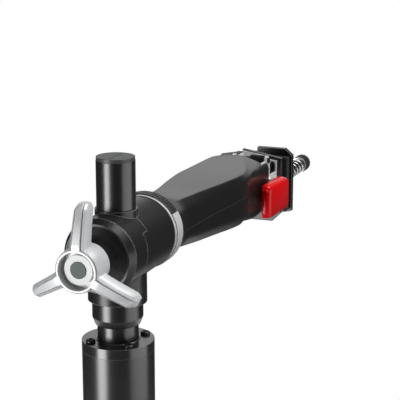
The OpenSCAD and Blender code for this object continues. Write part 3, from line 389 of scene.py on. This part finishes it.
def lathe(name, profile, material, axis="Z", centre=(0, 0, 0), steps=96, smooth_deg=SMOOTH_DEG):
    """Turns a closed profile of (along, radius) pairs in metres round an axis."""
    loops = []
    for along, radius in profile:
        loop = []
        for k in range(steps):
            a = 2 * math.pi * k / steps
            c, s = radius * math.cos(a), radius * math.sin(a)
            local = (c, s, along) if axis == "Z" else (along, c, s)
            loop.append(Vector(centre) + Vector(local))
        loops.append(loop)
    points, faces = stack_of_loops(loops, ring=True)
    return make_piece(name, points, faces, material, smooth_deg)


def rounded_corners(corners, radii, steps=5):
    """Replaces each corner of a flat outline by a short curve."""
    outline = []
    count = len(corners)
    for i, corner in enumerate(corners):
        before = corners[i - 1] - corner
        after = corners[(i + 1) % count] - corner
        reach = min(radii[i], before.length * 0.45, after.length * 0.45)
        start = corner + before.normalized() * reach
        end = corner + after.normalized() * reach
        for k in range(steps):
            t = k / (steps - 1)
            outline.append(start * (1 - t) ** 2 + corner * 2 * t * (1 - t) + end * t**2)
    return outline


def drawn_in(outline, inset):
    """The outline moved inwards along its own normals; the outline runs anticlockwise."""
    count = len(outline)
    moved = []
    for i, point in enumerate(outline):
        along = outline[(i + 1) % count] - outline[i - 1]
        inward = Vector((-along.y, along.x)).normalized()
        moved.append(point + inward * inset)
    return moved


def joined(name, pieces):
    """One piece from several: the meshes are merged as they lie."""
    whole = bmesh.new()
    material = pieces[0].data.materials[0]
    for piece in pieces:
        whole.from_mesh(piece.data)
        old = piece.data
        bpy.data.objects.remove(piece)
        bpy.data.meshes.remove(old)
    mesh = bpy.data.meshes.new(name)
    whole.to_mesh(mesh)
    whole.free()
    mesh.materials.append(material)
    return placed(name, smoothed(mesh))


def settled(piece):
    """The piece as a plain mesh, with its modifiers worked in."""
    graph = bpy.context.evaluated_depsgraph_get()
    mesh = bpy.data.meshes.new_from_object(piece.evaluated_get(graph))
    piece.modifiers.clear()
    old = piece.data
    piece.data = mesh
    bpy.data.meshes.remove(old)
    smoothed(mesh)
    return piece


def stands_for(piece, body, slot, *names):
    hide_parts(*names)
    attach(piece, body)
    print(piece.name, len(piece.data.vertices), "points, for", ", ".join(names))


# %% [markdown]
# ## The arm's shells
# The arm is a two-part moulding that necks in behind the collar, swells to a broad flat back and closes
# over the jaw bracket. A stack of eight-cornered loops follows it well: the corners are rounded, and the
# sizes between two stations are smoothed so that the facets run into each other. The loops are sliced
# along the parting line, and Solidify gives the halves their wall.
#
# A station is a list in millimetres: its place along the arm, then half width and height of the top,
# high, low and base corners. Two more numbers, where given, are the half widths of the top and high
# corners on the paddle's side.

# %% Arm shell loops
ARM_STATIONS = [
    [64.1, 13, 29, 30, 12, 30, -12, 13, -29],
    [90.1, 16.8, 19.5, 25, 11, 26, -13, 17, -24],
    [132.1, 19.8, 17.4, 26, 10, 28, -17, 19.5, -29],
    [172, 26, 16.6, 30.5, 9, 31, -20.5, 22, -32.5],
    [207, 30, 15.9, 34, 8, 33.5, -23.5, 24, -36],
    [226, 30, 15.5, 34, 8, 34, -25.5, 24, -38],
    [250, 30, 15, 33.6, 8, 33, -26.5, 24, -40, 24.5, 31],
    [274, 30, 14.6, 33, 8, 32.5, -27, 24, -41, 15.8, 27.5],
    [294, 30, 14.2, 32.6, 7.5, 32, -28, 22, -42, 7.8, 23.6],
    [303, 29.5, 14, 31.5, 7, 31, -28, 20, -42, 4, 22.6],
    [316, 21, 13.7, 23, 6.4, 22, -28, 18, -42, 0, 21],
]
NOSE_STATIONS = [
    [232, 29, 9, 32, 3, 31.5, -25.5, 22, -36.5],
    [262, 25, 9, 26, 3, 26, -30, 20, -41.5],
    [294, 20.5, 5.8, 22.8, 1, 22.8, -32, 20, -47],
    [331, 20, 5.4, 22.6, 0.6, 22.6, -31, 20, -46],
]
SHELL_END = 232 * MM
BRACKET_REAR = 294 * MM
SPLIT_Z = AXIS_H - 6 * MM
SHELL_WALL = 2.4 * MM
COVER_X = [262, 294]
COVER_Z = [9.1, 6.2]
COVER_ACROSS = (2.9, 0, 32)


def eight_corners(size):
    top_w, top_z, high_w, high_z, low_w, low_z, base_w, base_z, near_top_w, near_high_w = size
    far_side = [(base_w, base_z), (low_w, low_z), (high_w, high_z), (top_w, top_z)]
    near_side = [(-near_top_w, top_z), (-near_high_w, high_z), (-low_w, low_z), (-base_w, base_z)]
    return [Vector(p) for p in far_side + near_side]


def moulded_loops(stations, step, blur, radii):
    table = np.array([row if len(row) == 11 else [*row, row[1], row[3]] for row in stations], float)
    xs = np.arange(table[0, 0], table[-1, 0] + step / 2, step)
    fine = np.arange(table[0, 0] - blur, table[-1, 0] + blur + 0.5, 1.0)
    sizes = np.array([np.interp(fine, table[:, 0], table[:, c]) for c in range(1, 11)]).T
    loops = []
    for x in xs:
        near = np.abs(fine - x) <= min(blur, x - xs[0] + 0.5, xs[-1] - x + 0.5)
        size = sizes[near].mean(axis=0)
        flat = rounded_corners(eight_corners(size), radii)
        loops.append([Vector((x * MM, p.x * MM, AXIS_H + p.y * MM)) for p in flat])
    return loops


arm_loops = moulded_loops(ARM_STATIONS, 2.5, 9, [5, 10, 6, 1.6, 1.6, 6, 10, 5])
print("arm loops:", len(arm_loops))


# %% Cut and thicken the shells
def shell_piece(name, keep):
    points, faces = stack_of_loops(arm_loops, closed_ends=False)
    piece = make_piece(name, points, faces, shell_plastic, 50)
    work = bmesh.new()
    work.from_mesh(piece.data)
    cuts = [
        ((SHELL_END, 0, 0), (1, 0, 0)),
        ((BRACKET_REAR, 0, 0), (1, 0, 0)),
        ((0, 0, SPLIT_Z), (0, 0, 1)),
        ((0, 0, AXIS_H + COVER_Z[0] * MM), (0, 0, 1)),
        ((COVER_X[0] * MM, 0, AXIS_H + COVER_Z[0] * MM), COVER_ACROSS),
        ((0, 0, AXIS_H + COVER_Z[1] * MM), (0, 0, 1)),
    ]
    for place, across in cuts:
        everything = work.verts[:] + work.edges[:] + work.faces[:]
        bmesh.ops.bisect_plane(work, geom=everything, plane_co=place, plane_no=across)
    gone = [face for face in work.faces if not keep(face.calc_center_median())]
    bmesh.ops.delete(work, geom=gone, context="FACES")
    middle = Vector((0.2, 0, AXIS_H - 10 * MM))
    outward = sum(face.normal.dot(face.calc_center_median() - middle) for face in work.faces)
    if outward < 0:
        bmesh.ops.reverse_faces(work, faces=work.faces)
    work.to_mesh(piece.data)
    work.free()
    wall = piece.modifiers.new("wall", "SOLIDIFY")
    wall.thickness = SHELL_WALL
    wall.offset = -1
    rim = piece.modifiers.new("rim", "BEVEL")
    rim.width = 0.5 * MM
    rim.segments = 2
    rim.limit_method = "ANGLE"
    rim.angle_limit = math.radians(60)
    return settled(piece)


def in_top_shell(p):
    if p.x < SHELL_END:
        return p.z > SPLIT_Z
    return p.z > AXIS_H + np.interp(p.x / MM, COVER_X, COVER_Z) * MM


def in_lower_shell(p):
    return p.x < SHELL_END and p.z < SPLIT_Z


top_shell = shell_piece("arm_top_cover", in_top_shell)
stands_for(top_shell, "arm", "black_plastic", "arm_top_shell")
lower_shell = shell_piece("arm_under_cover", in_lower_shell)
stands_for(lower_shell, "arm", "black_plastic", "arm_lower_shell")


# %% Nose between the shells and the jaw bracket
def box_piece(name, low, high):
    loops = []
    for x in (low[0], high[0]):
        loops.append([Vector((x, low[1], low[2])), Vector((x, high[1], low[2])),
                      Vector((x, high[1], high[2])), Vector((x, low[1], high[2]))])
    box_points, box_faces = stack_of_loops(loops)
    return make_piece(name, box_points, box_faces, shell_plastic)


def worked(piece, tools):
    """Runs Booleans on a piece, one for each (operation, other) pair, and removes the others."""
    for how, other in tools:
        step = piece.modifiers.new(how.lower(), "BOOLEAN")
        step.operation = how
        step.solver = "EXACT"
        step.object = other
    settled(piece)
    for _, other in tools:
        bpy.data.objects.remove(other)
    return piece


nose_loops = moulded_loops(NOSE_STATIONS, 2.0, 9, [8, 12, 8, 5, 5, 8, 12, 8])
nose_points, nose_faces = stack_of_loops(nose_loops)
nose = make_piece("arm_nose_cap", nose_points, nose_faces, shell_plastic, 50)
beam_low, beam_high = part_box("arm_beam")
clearance = 0.1 * MM
bracket_room = box_piece(
    "bracket_room",
    (BRACKET_REAR, -19.1 * MM, AXIS_H - 42 * MM), (340 * MM, 19.1 * MM, AXIS_H + 8 * MM))
beam_room = box_piece(
    "beam_room",
    (SHELL_END - 2 * MM, beam_low[1] - clearance, beam_low[2] - clearance),
    (BRACKET_REAR + 1 * MM, beam_high[1] + clearance, beam_high[2] + clearance))
worked(nose, [("DIFFERENCE", bracket_room), ("DIFFERENCE", beam_room)])
stands_for(nose, "arm", "black_plastic", "arm_nose")

# %% [markdown]
# ## The lock knob
# A die casting: a dished hub with a band round it, and three arms that lean back and end in a chamfered
# tip. Each arm has a flat rib in front, with a groove and a bevel on both sides. The hub is turned, the
# arms are lofted through the sections below, and a Boolean joins them, which keeps the crisp lines that a
# casting of this kind has. A section gives its distance from the axis, the widths of rib and arm, and how
# far its front and back lie behind the hub's front, all in millimetres.

# %% Three-arm knob
KNOB_FRONT = -75.8 * MM
KNOB_BACK = -49.3 * MM
HUB_R = 17.0 * MM
BAND_R = 18.5 * MM
RECESS_R = 15.0 * MM
RECESS_FLOOR = -67.3 * MM
BORE_R = 9.1 * MM
NEAR_AXIS = 0.0001


def knob_arm_loop(r, rib, width, front, back):
    """One section of an arm: half a rib, a groove, a bevel and a side, and the same mirrored."""
    half = [
        (rib / 2 - 0.3 * MM, front), (rib / 2, front + 0.3 * MM), (rib / 2 + 0.05 * MM, front + 2.4 * MM),
        (rib / 2 + 0.8 * MM, front + 0.9 * MM), (width / 2 - 0.25 * MM, front + 3.3 * MM),
        (width / 2, front + 3.8 * MM), (width / 2, back - 1.0 * MM), (width / 2 - 1.0 * MM, back),
    ]
    outline = half + [(-y, x) for y, x in reversed(half)]
    return [Vector((x, y, r)) for y, x in outline]


ARM_SECTIONS = [
    [11.0, 8.6, 14.8, 0.2, 15.4], [18.5, 7.3, 13.6, 0.2, 15.6], [21.5, 6.9, 12.8, 0.6, 16.2],
    [34.0, 6.2, 11.8, 3.8, 19.6], [45.6, 5.4, 11.0, 7.2, 23.2], [48.0, 4.6, 9.4, 9.8, 23.4],
    [50.0, 3.4, 7.4, 12.6, 22.6],
]


def knob_arm(name, turn):
    loops = []
    for r, rib, width, front, back in ARM_SECTIONS:
        reach = [KNOB_FRONT + depth * MM for depth in (front, back)]
        loops.append(knob_arm_loop(r * MM, rib * MM, width * MM, *reach))
    spin = Matrix.Rotation(turn, 3, "X")
    lifted = [[spin @ p + Vector((0, 0, AXIS_H)) for p in loop] for loop in loops]
    points, faces = stack_of_loops(lifted)
    return make_piece(name, points, faces, silver_casting)


hub = lathe(
    "knob_hub",
    [
        (KNOB_FRONT + 0.4 * MM, RECESS_R), (KNOB_FRONT, RECESS_R + 0.4 * MM),
        (KNOB_FRONT, HUB_R - 0.4 * MM), (KNOB_FRONT + 0.4 * MM, HUB_R),
        (KNOB_FRONT + 1.7 * MM, HUB_R + 0.02 * MM), (KNOB_FRONT + 0.9 * MM, HUB_R + 0.6 * MM),
        (KNOB_FRONT + 6.2 * MM, BAND_R - 0.1 * MM), (KNOB_FRONT + 6.8 * MM, BAND_R),
        (KNOB_FRONT + 17.6 * MM, BAND_R), (KNOB_FRONT + 18.2 * MM, BAND_R - 0.6 * MM),
        (KNOB_FRONT + 18.3 * MM, HUB_R), (KNOB_BACK - 1.0 * MM, HUB_R - 0.1 * MM),
        (KNOB_BACK, HUB_R - 1.1 * MM), (KNOB_BACK, BORE_R), (RECESS_FLOOR, BORE_R),
        (RECESS_FLOOR, RECESS_R - 0.5 * MM), (RECESS_FLOOR - 0.5 * MM, RECESS_R),
    ],
    silver_casting, axis="X", centre=(0, 0, AXIS_H),
)
recess = lathe(
    "recess_cutter",
    [(KNOB_FRONT - 2 * MM, NEAR_AXIS), (KNOB_FRONT - 2 * MM, RECESS_R - 0.02 * MM),
     (RECESS_FLOOR - 0.02 * MM, RECESS_R - 0.02 * MM), (RECESS_FLOOR - 0.02 * MM, 9.0 * MM),
     (KNOB_BACK + 2 * MM, 9.0 * MM), (KNOB_BACK + 2 * MM, NEAR_AXIS)],
    silver_casting, axis="X", centre=(0, 0, AXIS_H),
)
arms = [knob_arm(f"knob_arm_{i}", math.radians(120 * i)) for i in range(3)]
knob = worked(hub, [("UNION", arm) for arm in arms] + [("DIFFERENCE", recess)])
knob.name = "lock_knob_casting"
stands_for(knob, "lock_knob", "cast_silver", "tri_knob")

# %% [markdown]
# ## The release paddle
# A red lever that is pressed towards the arm to free the ratchet. It is a moulded pad with a broad
# rounded rear edge and a small lip for the thumb. A rounded outline is stacked in rings that draw in
# towards both faces.

# %% Red paddle
PADDLE_CORNERS = [(288.2, -45), (348, -45), (348, -10.5), (288.2, -9)]
PADDLE_IN = -28.5 * MM
PADDLE_PIN = (340 * MM, -23.75 * MM)
outline = rounded_corners([Vector(p) * MM for p in PADDLE_CORNERS], [v * MM for v in (8, 8, 10, 7)], 8)
rings = [(1.2, 0), (0.3, -0.5), (0, -1.2), (0, -4.6), (0.35, -6.0), (1.1, -7.6), (2.3, -8.9), (3.6, -9.5)]
paddle_loops = []
for inset, depth in rings:
    loop = drawn_in(outline, inset * MM)
    flare = [1 + 0.22 * min(max((p.x / MM - 300) / 48, 0), 1) for p in loop]
    paddle_loops.append([Vector((p.x, PADDLE_IN + depth * MM * k, AXIS_H + p.y))
                         for p, k in zip(loop, flare)])
points, faces = stack_of_loops(paddle_loops)
plate = make_piece("paddle_plate", points, faces, paddle_red, 30)
lip = lathe(
    "paddle_lip",
    mm([(-35.2, 0.1), (-35.2, 1.0), (-34.4, 1.5), (-30.0, 1.5), (-29.3, 1.0), (-29.3, 0.1)]),
    paddle_red, axis="X", steps=20,
)
lip_place = Matrix.Translation((288.9 * MM, 0, AXIS_H - 15 * MM))
lip.data.transform(lip_place @ Matrix.Rotation(math.pi / 2, 4, "Z"))
boss = lathe(
    "paddle_boss",
    mm([(-31.7, 2.55), (-31.7, 4.2), (-31.4, 4.5), (-17.6, 4.5), (-17.3, 4.2), (-17.3, 2.55)]),
    paddle_red, centre=(*PADDLE_PIN, AXIS_H), steps=40,
)
web_loops = []
for y in (-29.0 * MM, -26.5 * MM):
    corners = [(337.2, -31.5), (342.8, -31.5), (342.8, -17.5), (337.2, -17.5)]
    web_loops.append([Vector((x * MM, y, AXIS_H + z * MM)) for x, z in corners])
points, faces = stack_of_loops(web_loops)
web = make_piece("paddle_web", points, faces, paddle_red)
paddle = joined("release_lever", [plate, lip, boss, web])
stands_for(paddle, "paddle", "red_plastic", "release_paddle")

# %% [markdown]
# ## The adjuster spring
# The coil that keeps the adjuster knob tight. Its wire is a tube swept along the same helix as the CAD
# solid, with three times as many rings to a curl.

# %% Coil spring
SPRING_X = 447 * MM
SPRING_L = 65 * MM
SPRING_R = 7.4 * MM
WIRE_R = 1.0 * MM
SPRING_TURNS = 6
RINGS_PER_TURN = 24
WIRE_SIDES = 12


def spring_path():
    pitch = (SPRING_L - 4 * WIRE_R) / SPRING_TURNS
    path = [Vector((0, SPRING_R, 0))]
    for i in range(SPRING_TURNS * RINGS_PER_TURN + 1):
        turn = i / RINGS_PER_TURN
        a = 2 * math.pi * turn
        path.append(Vector((2 * WIRE_R + pitch * turn, SPRING_R * math.cos(a), SPRING_R * math.sin(a))))
    path.append(Vector((SPRING_L, SPRING_R, 0)))
    return path


coil = spring_path()
wire_loops = []
for i, p in enumerate(coil):
    ahead = coil[min(i + 1, len(coil) - 1)] - coil[max(i - 1, 0)]
    if i in (0, len(coil) - 1):
        ahead = Vector((1, 0, 0))
    out = Vector((0, p.y, p.z)).normalized()
    side = ahead.cross(out).normalized()
    lift = side.cross(ahead).normalized()
    ring_points = []
    for k in range(WIRE_SIDES):
        a = 2 * math.pi * k / WIRE_SIDES
        on_ring = p + WIRE_R * (math.cos(a) * lift + math.sin(a) * side)
        ring_points.append(on_ring + Vector((SPRING_X, 0, AXIS_H - JAW_DROP)))
    wire_loops.append(ring_points)
points, faces = stack_of_loops(wire_loops)
spring = make_piece("adjuster_coil", points, faces, spring_wire, 60)
stands_for(spring, "jaw_carriage", "zinc_steel", "adjuster_spring")

# %% [markdown]
# ## Ribs and knurls with Geometry Nodes
# The collar behind the arm and the adjuster knob both carry round ribs set on a circle. One node tree
# makes them: a bar is instanced on the points of a circle, the instances are realized, and the finish is
# set. Its sizes are named inputs, and the result is turned into a plain mesh.


# %% Tree that sets bars on a ring
def bars_on_a_ring(material):
    tree = bpy.data.node_groups.new("bars_on_a_ring", "GeometryNodeTree")
    tree.interface.new_socket("Geometry", in_out="OUTPUT", socket_type="NodeSocketGeometry")
    tree.interface.new_socket("Geometry", in_out="INPUT", socket_type="NodeSocketGeometry")
    tree.interface.new_socket("Count", in_out="INPUT", socket_type="NodeSocketInt")
    for name in ("Ring Radius", "Start", "Sweep", "Bar Radius", "Bar Length"):
        tree.interface.new_socket(name, in_out="INPUT", socket_type="NodeSocketFloat")
    tree.interface.new_socket("Centre", in_out="INPUT", socket_type="NodeSocketVector")
    add = tree.nodes.new
    link = tree.links.new
    given = add("NodeGroupInput")
    arc = add("GeometryNodeCurveArc")
    link(given.outputs["Count"], arc.inputs["Resolution"])
    link(given.outputs["Ring Radius"], arc.inputs["Radius"])
    link(given.outputs["Start"], arc.inputs["Start Angle"])
    link(given.outputs["Sweep"], arc.inputs["Sweep Angle"])
    bar = add("GeometryNodeMeshCylinder")
    bar.inputs["Vertices"].default_value = 10
    bar.inputs["Side Segments"].default_value = 1
    link(given.outputs["Bar Radius"], bar.inputs["Radius"])
    link(given.outputs["Bar Length"], bar.inputs["Depth"])
    spread = add("GeometryNodeInstanceOnPoints")
    link(arc.outputs["Curve"], spread.inputs["Points"])
    link(bar.outputs["Mesh"], spread.inputs["Instance"])
    real = add("GeometryNodeRealizeInstances")
    link(spread.outputs["Instances"], real.inputs["Geometry"])
    laid = add("GeometryNodeTransform")
    laid.inputs["Rotation"].default_value = (0, math.pi / 2, 0)
    link(real.outputs["Geometry"], laid.inputs["Geometry"])
    link(given.outputs["Centre"], laid.inputs["Translation"])
    paint = add("GeometryNodeSetMaterial")
    paint.inputs["Material"].default_value = material
    link(laid.outputs["Geometry"], paint.inputs["Geometry"])
    result = add("NodeGroupOutput")
    link(paint.outputs["Geometry"], result.inputs["Geometry"])
    return tree


def run_tree(name, tree, mesh, values):
    """Runs a tree on a mesh and returns the result as a plain piece."""
    piece = placed(name, mesh)
    modifier = piece.modifiers.new("nodes", "NODES")
    modifier.node_group = tree
    for item in tree.interface.items_tree:
        if item.in_out == "INPUT" and item.name in values:
            modifier[item.identifier] = values[item.name]
    return settled(piece)


def ribs(name, material, count, sweep, ring_radius, bar_radius, bar_length, centre):
    """Bars along X, spread over an arc whose middle is at the top."""
    return run_tree(
        name,
        bars_on_a_ring(material),
        bpy.data.meshes.new(name),
        {"Count": count, "Ring Radius": ring_radius, "Start": math.pi - sweep / 2, "Sweep": sweep,
         "Bar Radius": bar_radius, "Bar Length": bar_length, "Centre": centre},
    )


# %% Ribbed collar and knurled adjuster knob
COLLAR_HALF = math.radians(58)
COLLAR_PROFILE = [(52.1, 29.1), (52.1, 31.7), (52.7, 32.4), (63.4, 32.4), (64.1, 31.7), (64.1, 29.1)]
collar_loops = []
for turn in np.linspace(-COLLAR_HALF, COLLAR_HALF, 49):
    collar_loops.append([Vector((x * MM, r * MM * math.sin(turn), AXIS_H + r * MM * math.cos(turn)))
                         for x, r in COLLAR_PROFILE])
points, faces = stack_of_loops(collar_loops)
collar_ring = make_piece("collar_ring", points, faces, shell_plastic)
collar_ribs = ribs("collar_ribs", shell_plastic, 27, 2 * COLLAR_HALF - 0.06, 32.3 * MM, 0.62 * MM, 9.6 * MM,
                   (58.1 * MM, 0, AXIS_H))
collar = joined("ribbed_collar", [collar_ring, collar_ribs])
stands_for(collar, "arm", "black_plastic", "arm_collar")

jaw_axis = (0, 0, AXIS_H - JAW_DROP)
grip_core = lathe(
    "grip_core",
    mm([(514.3, 5.05), (514.3, 8.6), (515.1, 9.4), (517.4, 9.4), (518.0, 8.9), (530.2, 8.9),
        (531.6, 8.3), (532.3, 7.0), (532.3, 0.1), (526.3, 0.1), (526.3, 5.05)]),
    dark_plastic, axis="X", centre=jaw_axis, steps=80,
)
GRIP_RIBS = 30
grip_sweep = 2 * math.pi * (1 - 1 / GRIP_RIBS)
grip_ribs = ribs("grip_ribs", dark_plastic, GRIP_RIBS, grip_sweep, 8.9 * MM, 0.85 * MM, 12.0 * MM,
                 (524.3 * MM, 0, AXIS_H - JAW_DROP))
grip = joined("adjuster_grip", [grip_core, grip_ribs])
stands_for(grip, "adjuster", "black_plastic", "adjuster_knob")

# %% [markdown]
# ## Screws
# The gland cap is held by four round-headed socket screws of dark steel. One screw is made once, with a
# head of radius 1, and a second tree scales it and sets it on the places where the CAD screws sit.


# %% Tree that sets a screw on each point
def screw_on_points(material):
    tree = bpy.data.node_groups.new("screw_on_points", "GeometryNodeTree")
    tree.interface.new_socket("Geometry", in_out="OUTPUT", socket_type="NodeSocketGeometry")
    tree.interface.new_socket("Geometry", in_out="INPUT", socket_type="NodeSocketGeometry")
    tree.interface.new_socket("Screw", in_out="INPUT", socket_type="NodeSocketObject")
    tree.interface.new_socket("Size", in_out="INPUT", socket_type="NodeSocketFloat")
    add = tree.nodes.new
    link = tree.links.new
    given = add("NodeGroupInput")
    screw = add("GeometryNodeObjectInfo")
    link(given.outputs["Screw"], screw.inputs["Object"])
    spread = add("GeometryNodeInstanceOnPoints")
    link(given.outputs["Geometry"], spread.inputs["Points"])
    link(screw.outputs["Geometry"], spread.inputs["Instance"])
    link(given.outputs["Size"], spread.inputs["Scale"])
    real = add("GeometryNodeRealizeInstances")
    link(spread.outputs["Instances"], real.inputs["Geometry"])
    paint = add("GeometryNodeSetMaterial")
    paint.inputs["Material"].default_value = material
    link(real.outputs["Geometry"], paint.inputs["Geometry"])
    result = add("NodeGroupOutput")
    link(paint.outputs["Geometry"], result.inputs["Geometry"])
    return tree


def socket_head(name, material):
    """A screw of head radius 1: rounded head, six-sided socket, short shank."""
    loops = []
    outside = [(0.55, -2.0), (0.55, 0.0), (1.0, 0.0), (1.0, 0.34), (0.94, 0.5), (0.8, 0.6), (0.62, 0.63)]
    for radius, z in outside:
        loops.append([Vector((radius * math.cos(a), radius * math.sin(a), z))
                      for a in np.linspace(0, 2 * math.pi, 24, endpoint=False)])
    for radius, z in [(0.5, 0.62), (0.48, 0.2)]:
        loop = []
        for k in range(24):
            a = 2 * math.pi * k / 24
            flat = math.cos(math.pi / 6) / math.cos((a % (math.pi / 3)) - math.pi / 6)
            loop.append(Vector((radius * flat * math.cos(a), radius * flat * math.sin(a), z)))
        loops.append(loop)
    points, faces = stack_of_loops(loops)
    return make_piece(name, points, faces, material)


def screws_at(name, material, head, size, places):
    mesh = bpy.data.meshes.new(name)
    mesh.from_pydata(places, [], [])
    return run_tree(name, screw_on_points(material), mesh, {"Screw": head, "Size": size})


# %% Gland screws
GLAND_TOP = 772 * MM
GLAND_SCREW_RING = 24.0 * MM
gland_head = socket_head("gland_head", oxide_steel)
places = []
for k in range(4):
    a = math.radians(45 + 90 * k)
    places.append((GLAND_SCREW_RING * math.cos(a), GLAND_SCREW_RING * math.sin(a), GLAND_TOP))
gland_screws = screws_at("gland_cap_screws", oxide_steel, gland_head, 3.96 * MM, places)
bpy.data.objects.remove(gland_head)
stands_for(gland_screws, "base", "dark_steel", "gland_screws")

# %% [markdown]
# ## Rubber
# The pads that hold the tube have a V groove and fine ribs across it. They are stacks of loops, as the
# paddle is, and the movable one has a pocket behind for the tip of the adjuster screw. The wiper is a
# turned ring in the gland. It has the gland's gloss and its painted edge highlight, so that its rim draws a
# thin pale ring round the tube.


# %% Jaw pads
def jaw_pad(name, back, sign, near, far, low, high):
    depth, groove, vee = 9.0, 12.0, 5.0
    side = [(0, -near), (depth, -near), (depth, -groove), (depth - vee, 0),
            (depth, groove), (depth, far), (0, far)]
    corners = [Vector((x, y)) * MM for x, y in side]
    shape = rounded_corners(corners, [v * MM for v in (0.8, 1.6, 1.5, 3.0, 1.5, 1.6, 0.8)], 5)
    levels = [(low, 0.8), (low + 0.6, 0.15), (low + 1.2, 0.0)]
    z = low + 3.5
    while z < high - 3.0:
        levels += [(z, 0.0), (z + 0.35, 0.45), (z + 0.75, 0.45), (z + 1.1, 0.0)]
        z += 4.0
    levels += [(high - 1.2, 0.0), (high - 0.6, 0.15), (high, 0.8)]
    loops = []
    for z, inset in levels:
        loop = drawn_in(shape, inset * MM)
        loops.append([Vector((back + sign * max(p.x, 0), p.y, AXIS_H + z * MM)) for p in loop])
    pad_points, pad_faces = stack_of_loops(loops)
    return make_piece(name, pad_points, pad_faces, pad_rubber, 40)


def round_tool(name, x_from, x_to, radius, height):
    """A plain cylinder along X, to cut with."""
    loops = []
    turns = [2 * math.pi * k / 48 for k in range(48)]
    for x in (x_from, x_to):
        loops.append([Vector((x, radius * math.cos(a), height + radius * math.sin(a))) for a in turns])
    tool_points, tool_faces = stack_of_loops(loops)
    return make_piece(name, tool_points, tool_faces, pad_rubber)


fixed_pad = jaw_pad("ribbed_fixed_jaw_pad", 374 * MM, 1, 17.5, 18, -63, -3)
stands_for(fixed_pad, "arm", "black_rubber", "fixed_jaw_pad")
movable_pad = jaw_pad("ribbed_movable_jaw_pad", 420 * MM, -1, 17.5, 18, -66, -6)
tip_room = round_tool("tip_room", 417.5 * MM, 421 * MM, 6 * MM, AXIS_H - JAW_DROP)
worked(movable_pad, [("DIFFERENCE", tip_room)])
stands_for(movable_pad, "front_jaw", "black_rubber", "movable_jaw_pad")

# %% Wiper lip
wiper = lathe(
    "wiper_lip",
    mm([(769.0, 17.06), (769.0, 18.4), (772.3, 18.4), (772.6, 18.1), (772.6, 17.5), (772.2, 17.06)]),
    gland_paint,
)
stands_for(wiper, "base", "black_rubber", "wiper_seal")

# %% [markdown]
# ## Light
# Two boxes shape the tubes: a small bright one, low on the left of the camera, draws the bright streak, and
# a broad dim one to the right fills that side with grey. A third hangs above. The room itself is dim
# on the camera's side, so that the middle of a black tube stays black. Behind the stand it is white, and
# flat tops that are seen at a low angle mirror that white.


# %% Lamps
def soft_box(name, place, aim, width, height, radiance):
    """An area lamp; its power follows from how bright its face should look."""
    data = bpy.data.lights.new(name, "AREA")
    data.shape = "RECTANGLE"
    data.size = width
    data.size_y = height
    data.energy = radiance * math.pi * width * height
    lamp = placed(name, data)
    lamp.location = place
    lamp.rotation_euler = (Vector(aim) - Vector(place)).to_track_quat("-Z", "Y").to_euler()
    return lamp


HEAD = (0.05, 0, AXIS_H)
soft_box("left_strip", (-1.75, 0.97, 0.36), HEAD, 1.0, 1.2, 9.0)
soft_box("right_panel", (0.15, -2.2, 0.36), HEAD, 2.6, 1.2, 1.8)
soft_box("overhead", (0.5, -0.8, 2.4), HEAD, 1.4, 1.4, 5.3)
print("three lamps")

# %% [markdown]
# The floor is a pale disc that brightens to pure white at its rim, where it runs into the white room
# without an edge. Where the camera or a mirror looks at it, a glow lifts it; the lamps still throw the
# stand's shadow on it.


# %% Floor and room
def looked_at(tree):
    """Two values: 1 for rays from the camera, and 1 for rays from a mirror or through glass."""
    path = tree.tree.nodes.new("ShaderNodeLightPath")
    kinds = ("Is Camera Ray", "Is Glossy Ray", "Is Transmission Ray")
    camera_ray, mirror_ray, glass_ray = [Value(tree, path.outputs[name]) for name in kinds]
    return camera_ray, mirror_ray + glass_ray


FLOOR_R = 1.4
FLOOR_SIDES = 96
pale_floor = Finish("pale_floor")
measure = {"operation": "LENGTH"}
from_middle = pale_floor.node("ShaderNodeVectorMath", measure, {0: pale_floor.place}, "Value")
rim = from_middle.above(0.45, FLOOR_R - 0.1)
camera_ray, mirror_ray = looked_at(pale_floor)
glow = camera_ray * (0.5 + 0.5 * rim) + mirror_ray * (0.12 + 0.88 * rim)
pale_floor.set(
    Base_Color=pale_floor.mix(rim, rgb(0.5, 0.5, 0.5), rgb(0, 0, 0)),
    Emission_Color=pale_floor.mix(glow, rgb(0, 0, 0), rgb(1, 1, 1)),
    Emission_Strength=1.0,
    Roughness=0.9,
    Specular_IOR_Level=0.0,
)
floor_mesh = bpy.data.meshes.new("floor")
turns = np.linspace(0, 2 * math.pi, FLOOR_SIDES, False)
rim_points = [(FLOOR_R * math.cos(a), FLOOR_R * math.sin(a), 0) for a in turns]
floor_mesh.from_pydata(rim_points, [], [tuple(range(FLOOR_SIDES))])
floor_mesh.materials.append(pale_floor.material)
floor = placed("floor", floor_mesh)

world = bpy.data.worlds.new("white_room")
world.use_nodes = True
bpy.context.scene.world = world
room = Nodes(world.node_tree)
towards = room.node("ShaderNodeTexCoord", None, None, "Generated")
facing = room.node("ShaderNodeVectorMath", {"operation": "DOT_PRODUCT"}, {0: towards, 1: LOOK}, "Value")
height = room.node("ShaderNodeSeparateXYZ", None, {0: towards}, "Z")
backdrop = facing.above(math.cos(math.radians(44)), math.cos(math.radians(30))) * height.above(0.0, 0.16)
backdrop = 0.05 + 0.95 * backdrop
camera_ray, mirror_ray = looked_at(room)
FILL = 0.12
strength = camera_ray + (1 - camera_ray) * (FILL + mirror_ray * (backdrop - FILL))
background = room.tree.nodes["Background"]
background.inputs["Color"].default_value = rgb(1, 1, 1)
room.join(background.inputs["Strength"], strength)
bpy.context.scene.view_settings.view_transform = "Standard"
print("floor", FLOOR_R, "m in radius")
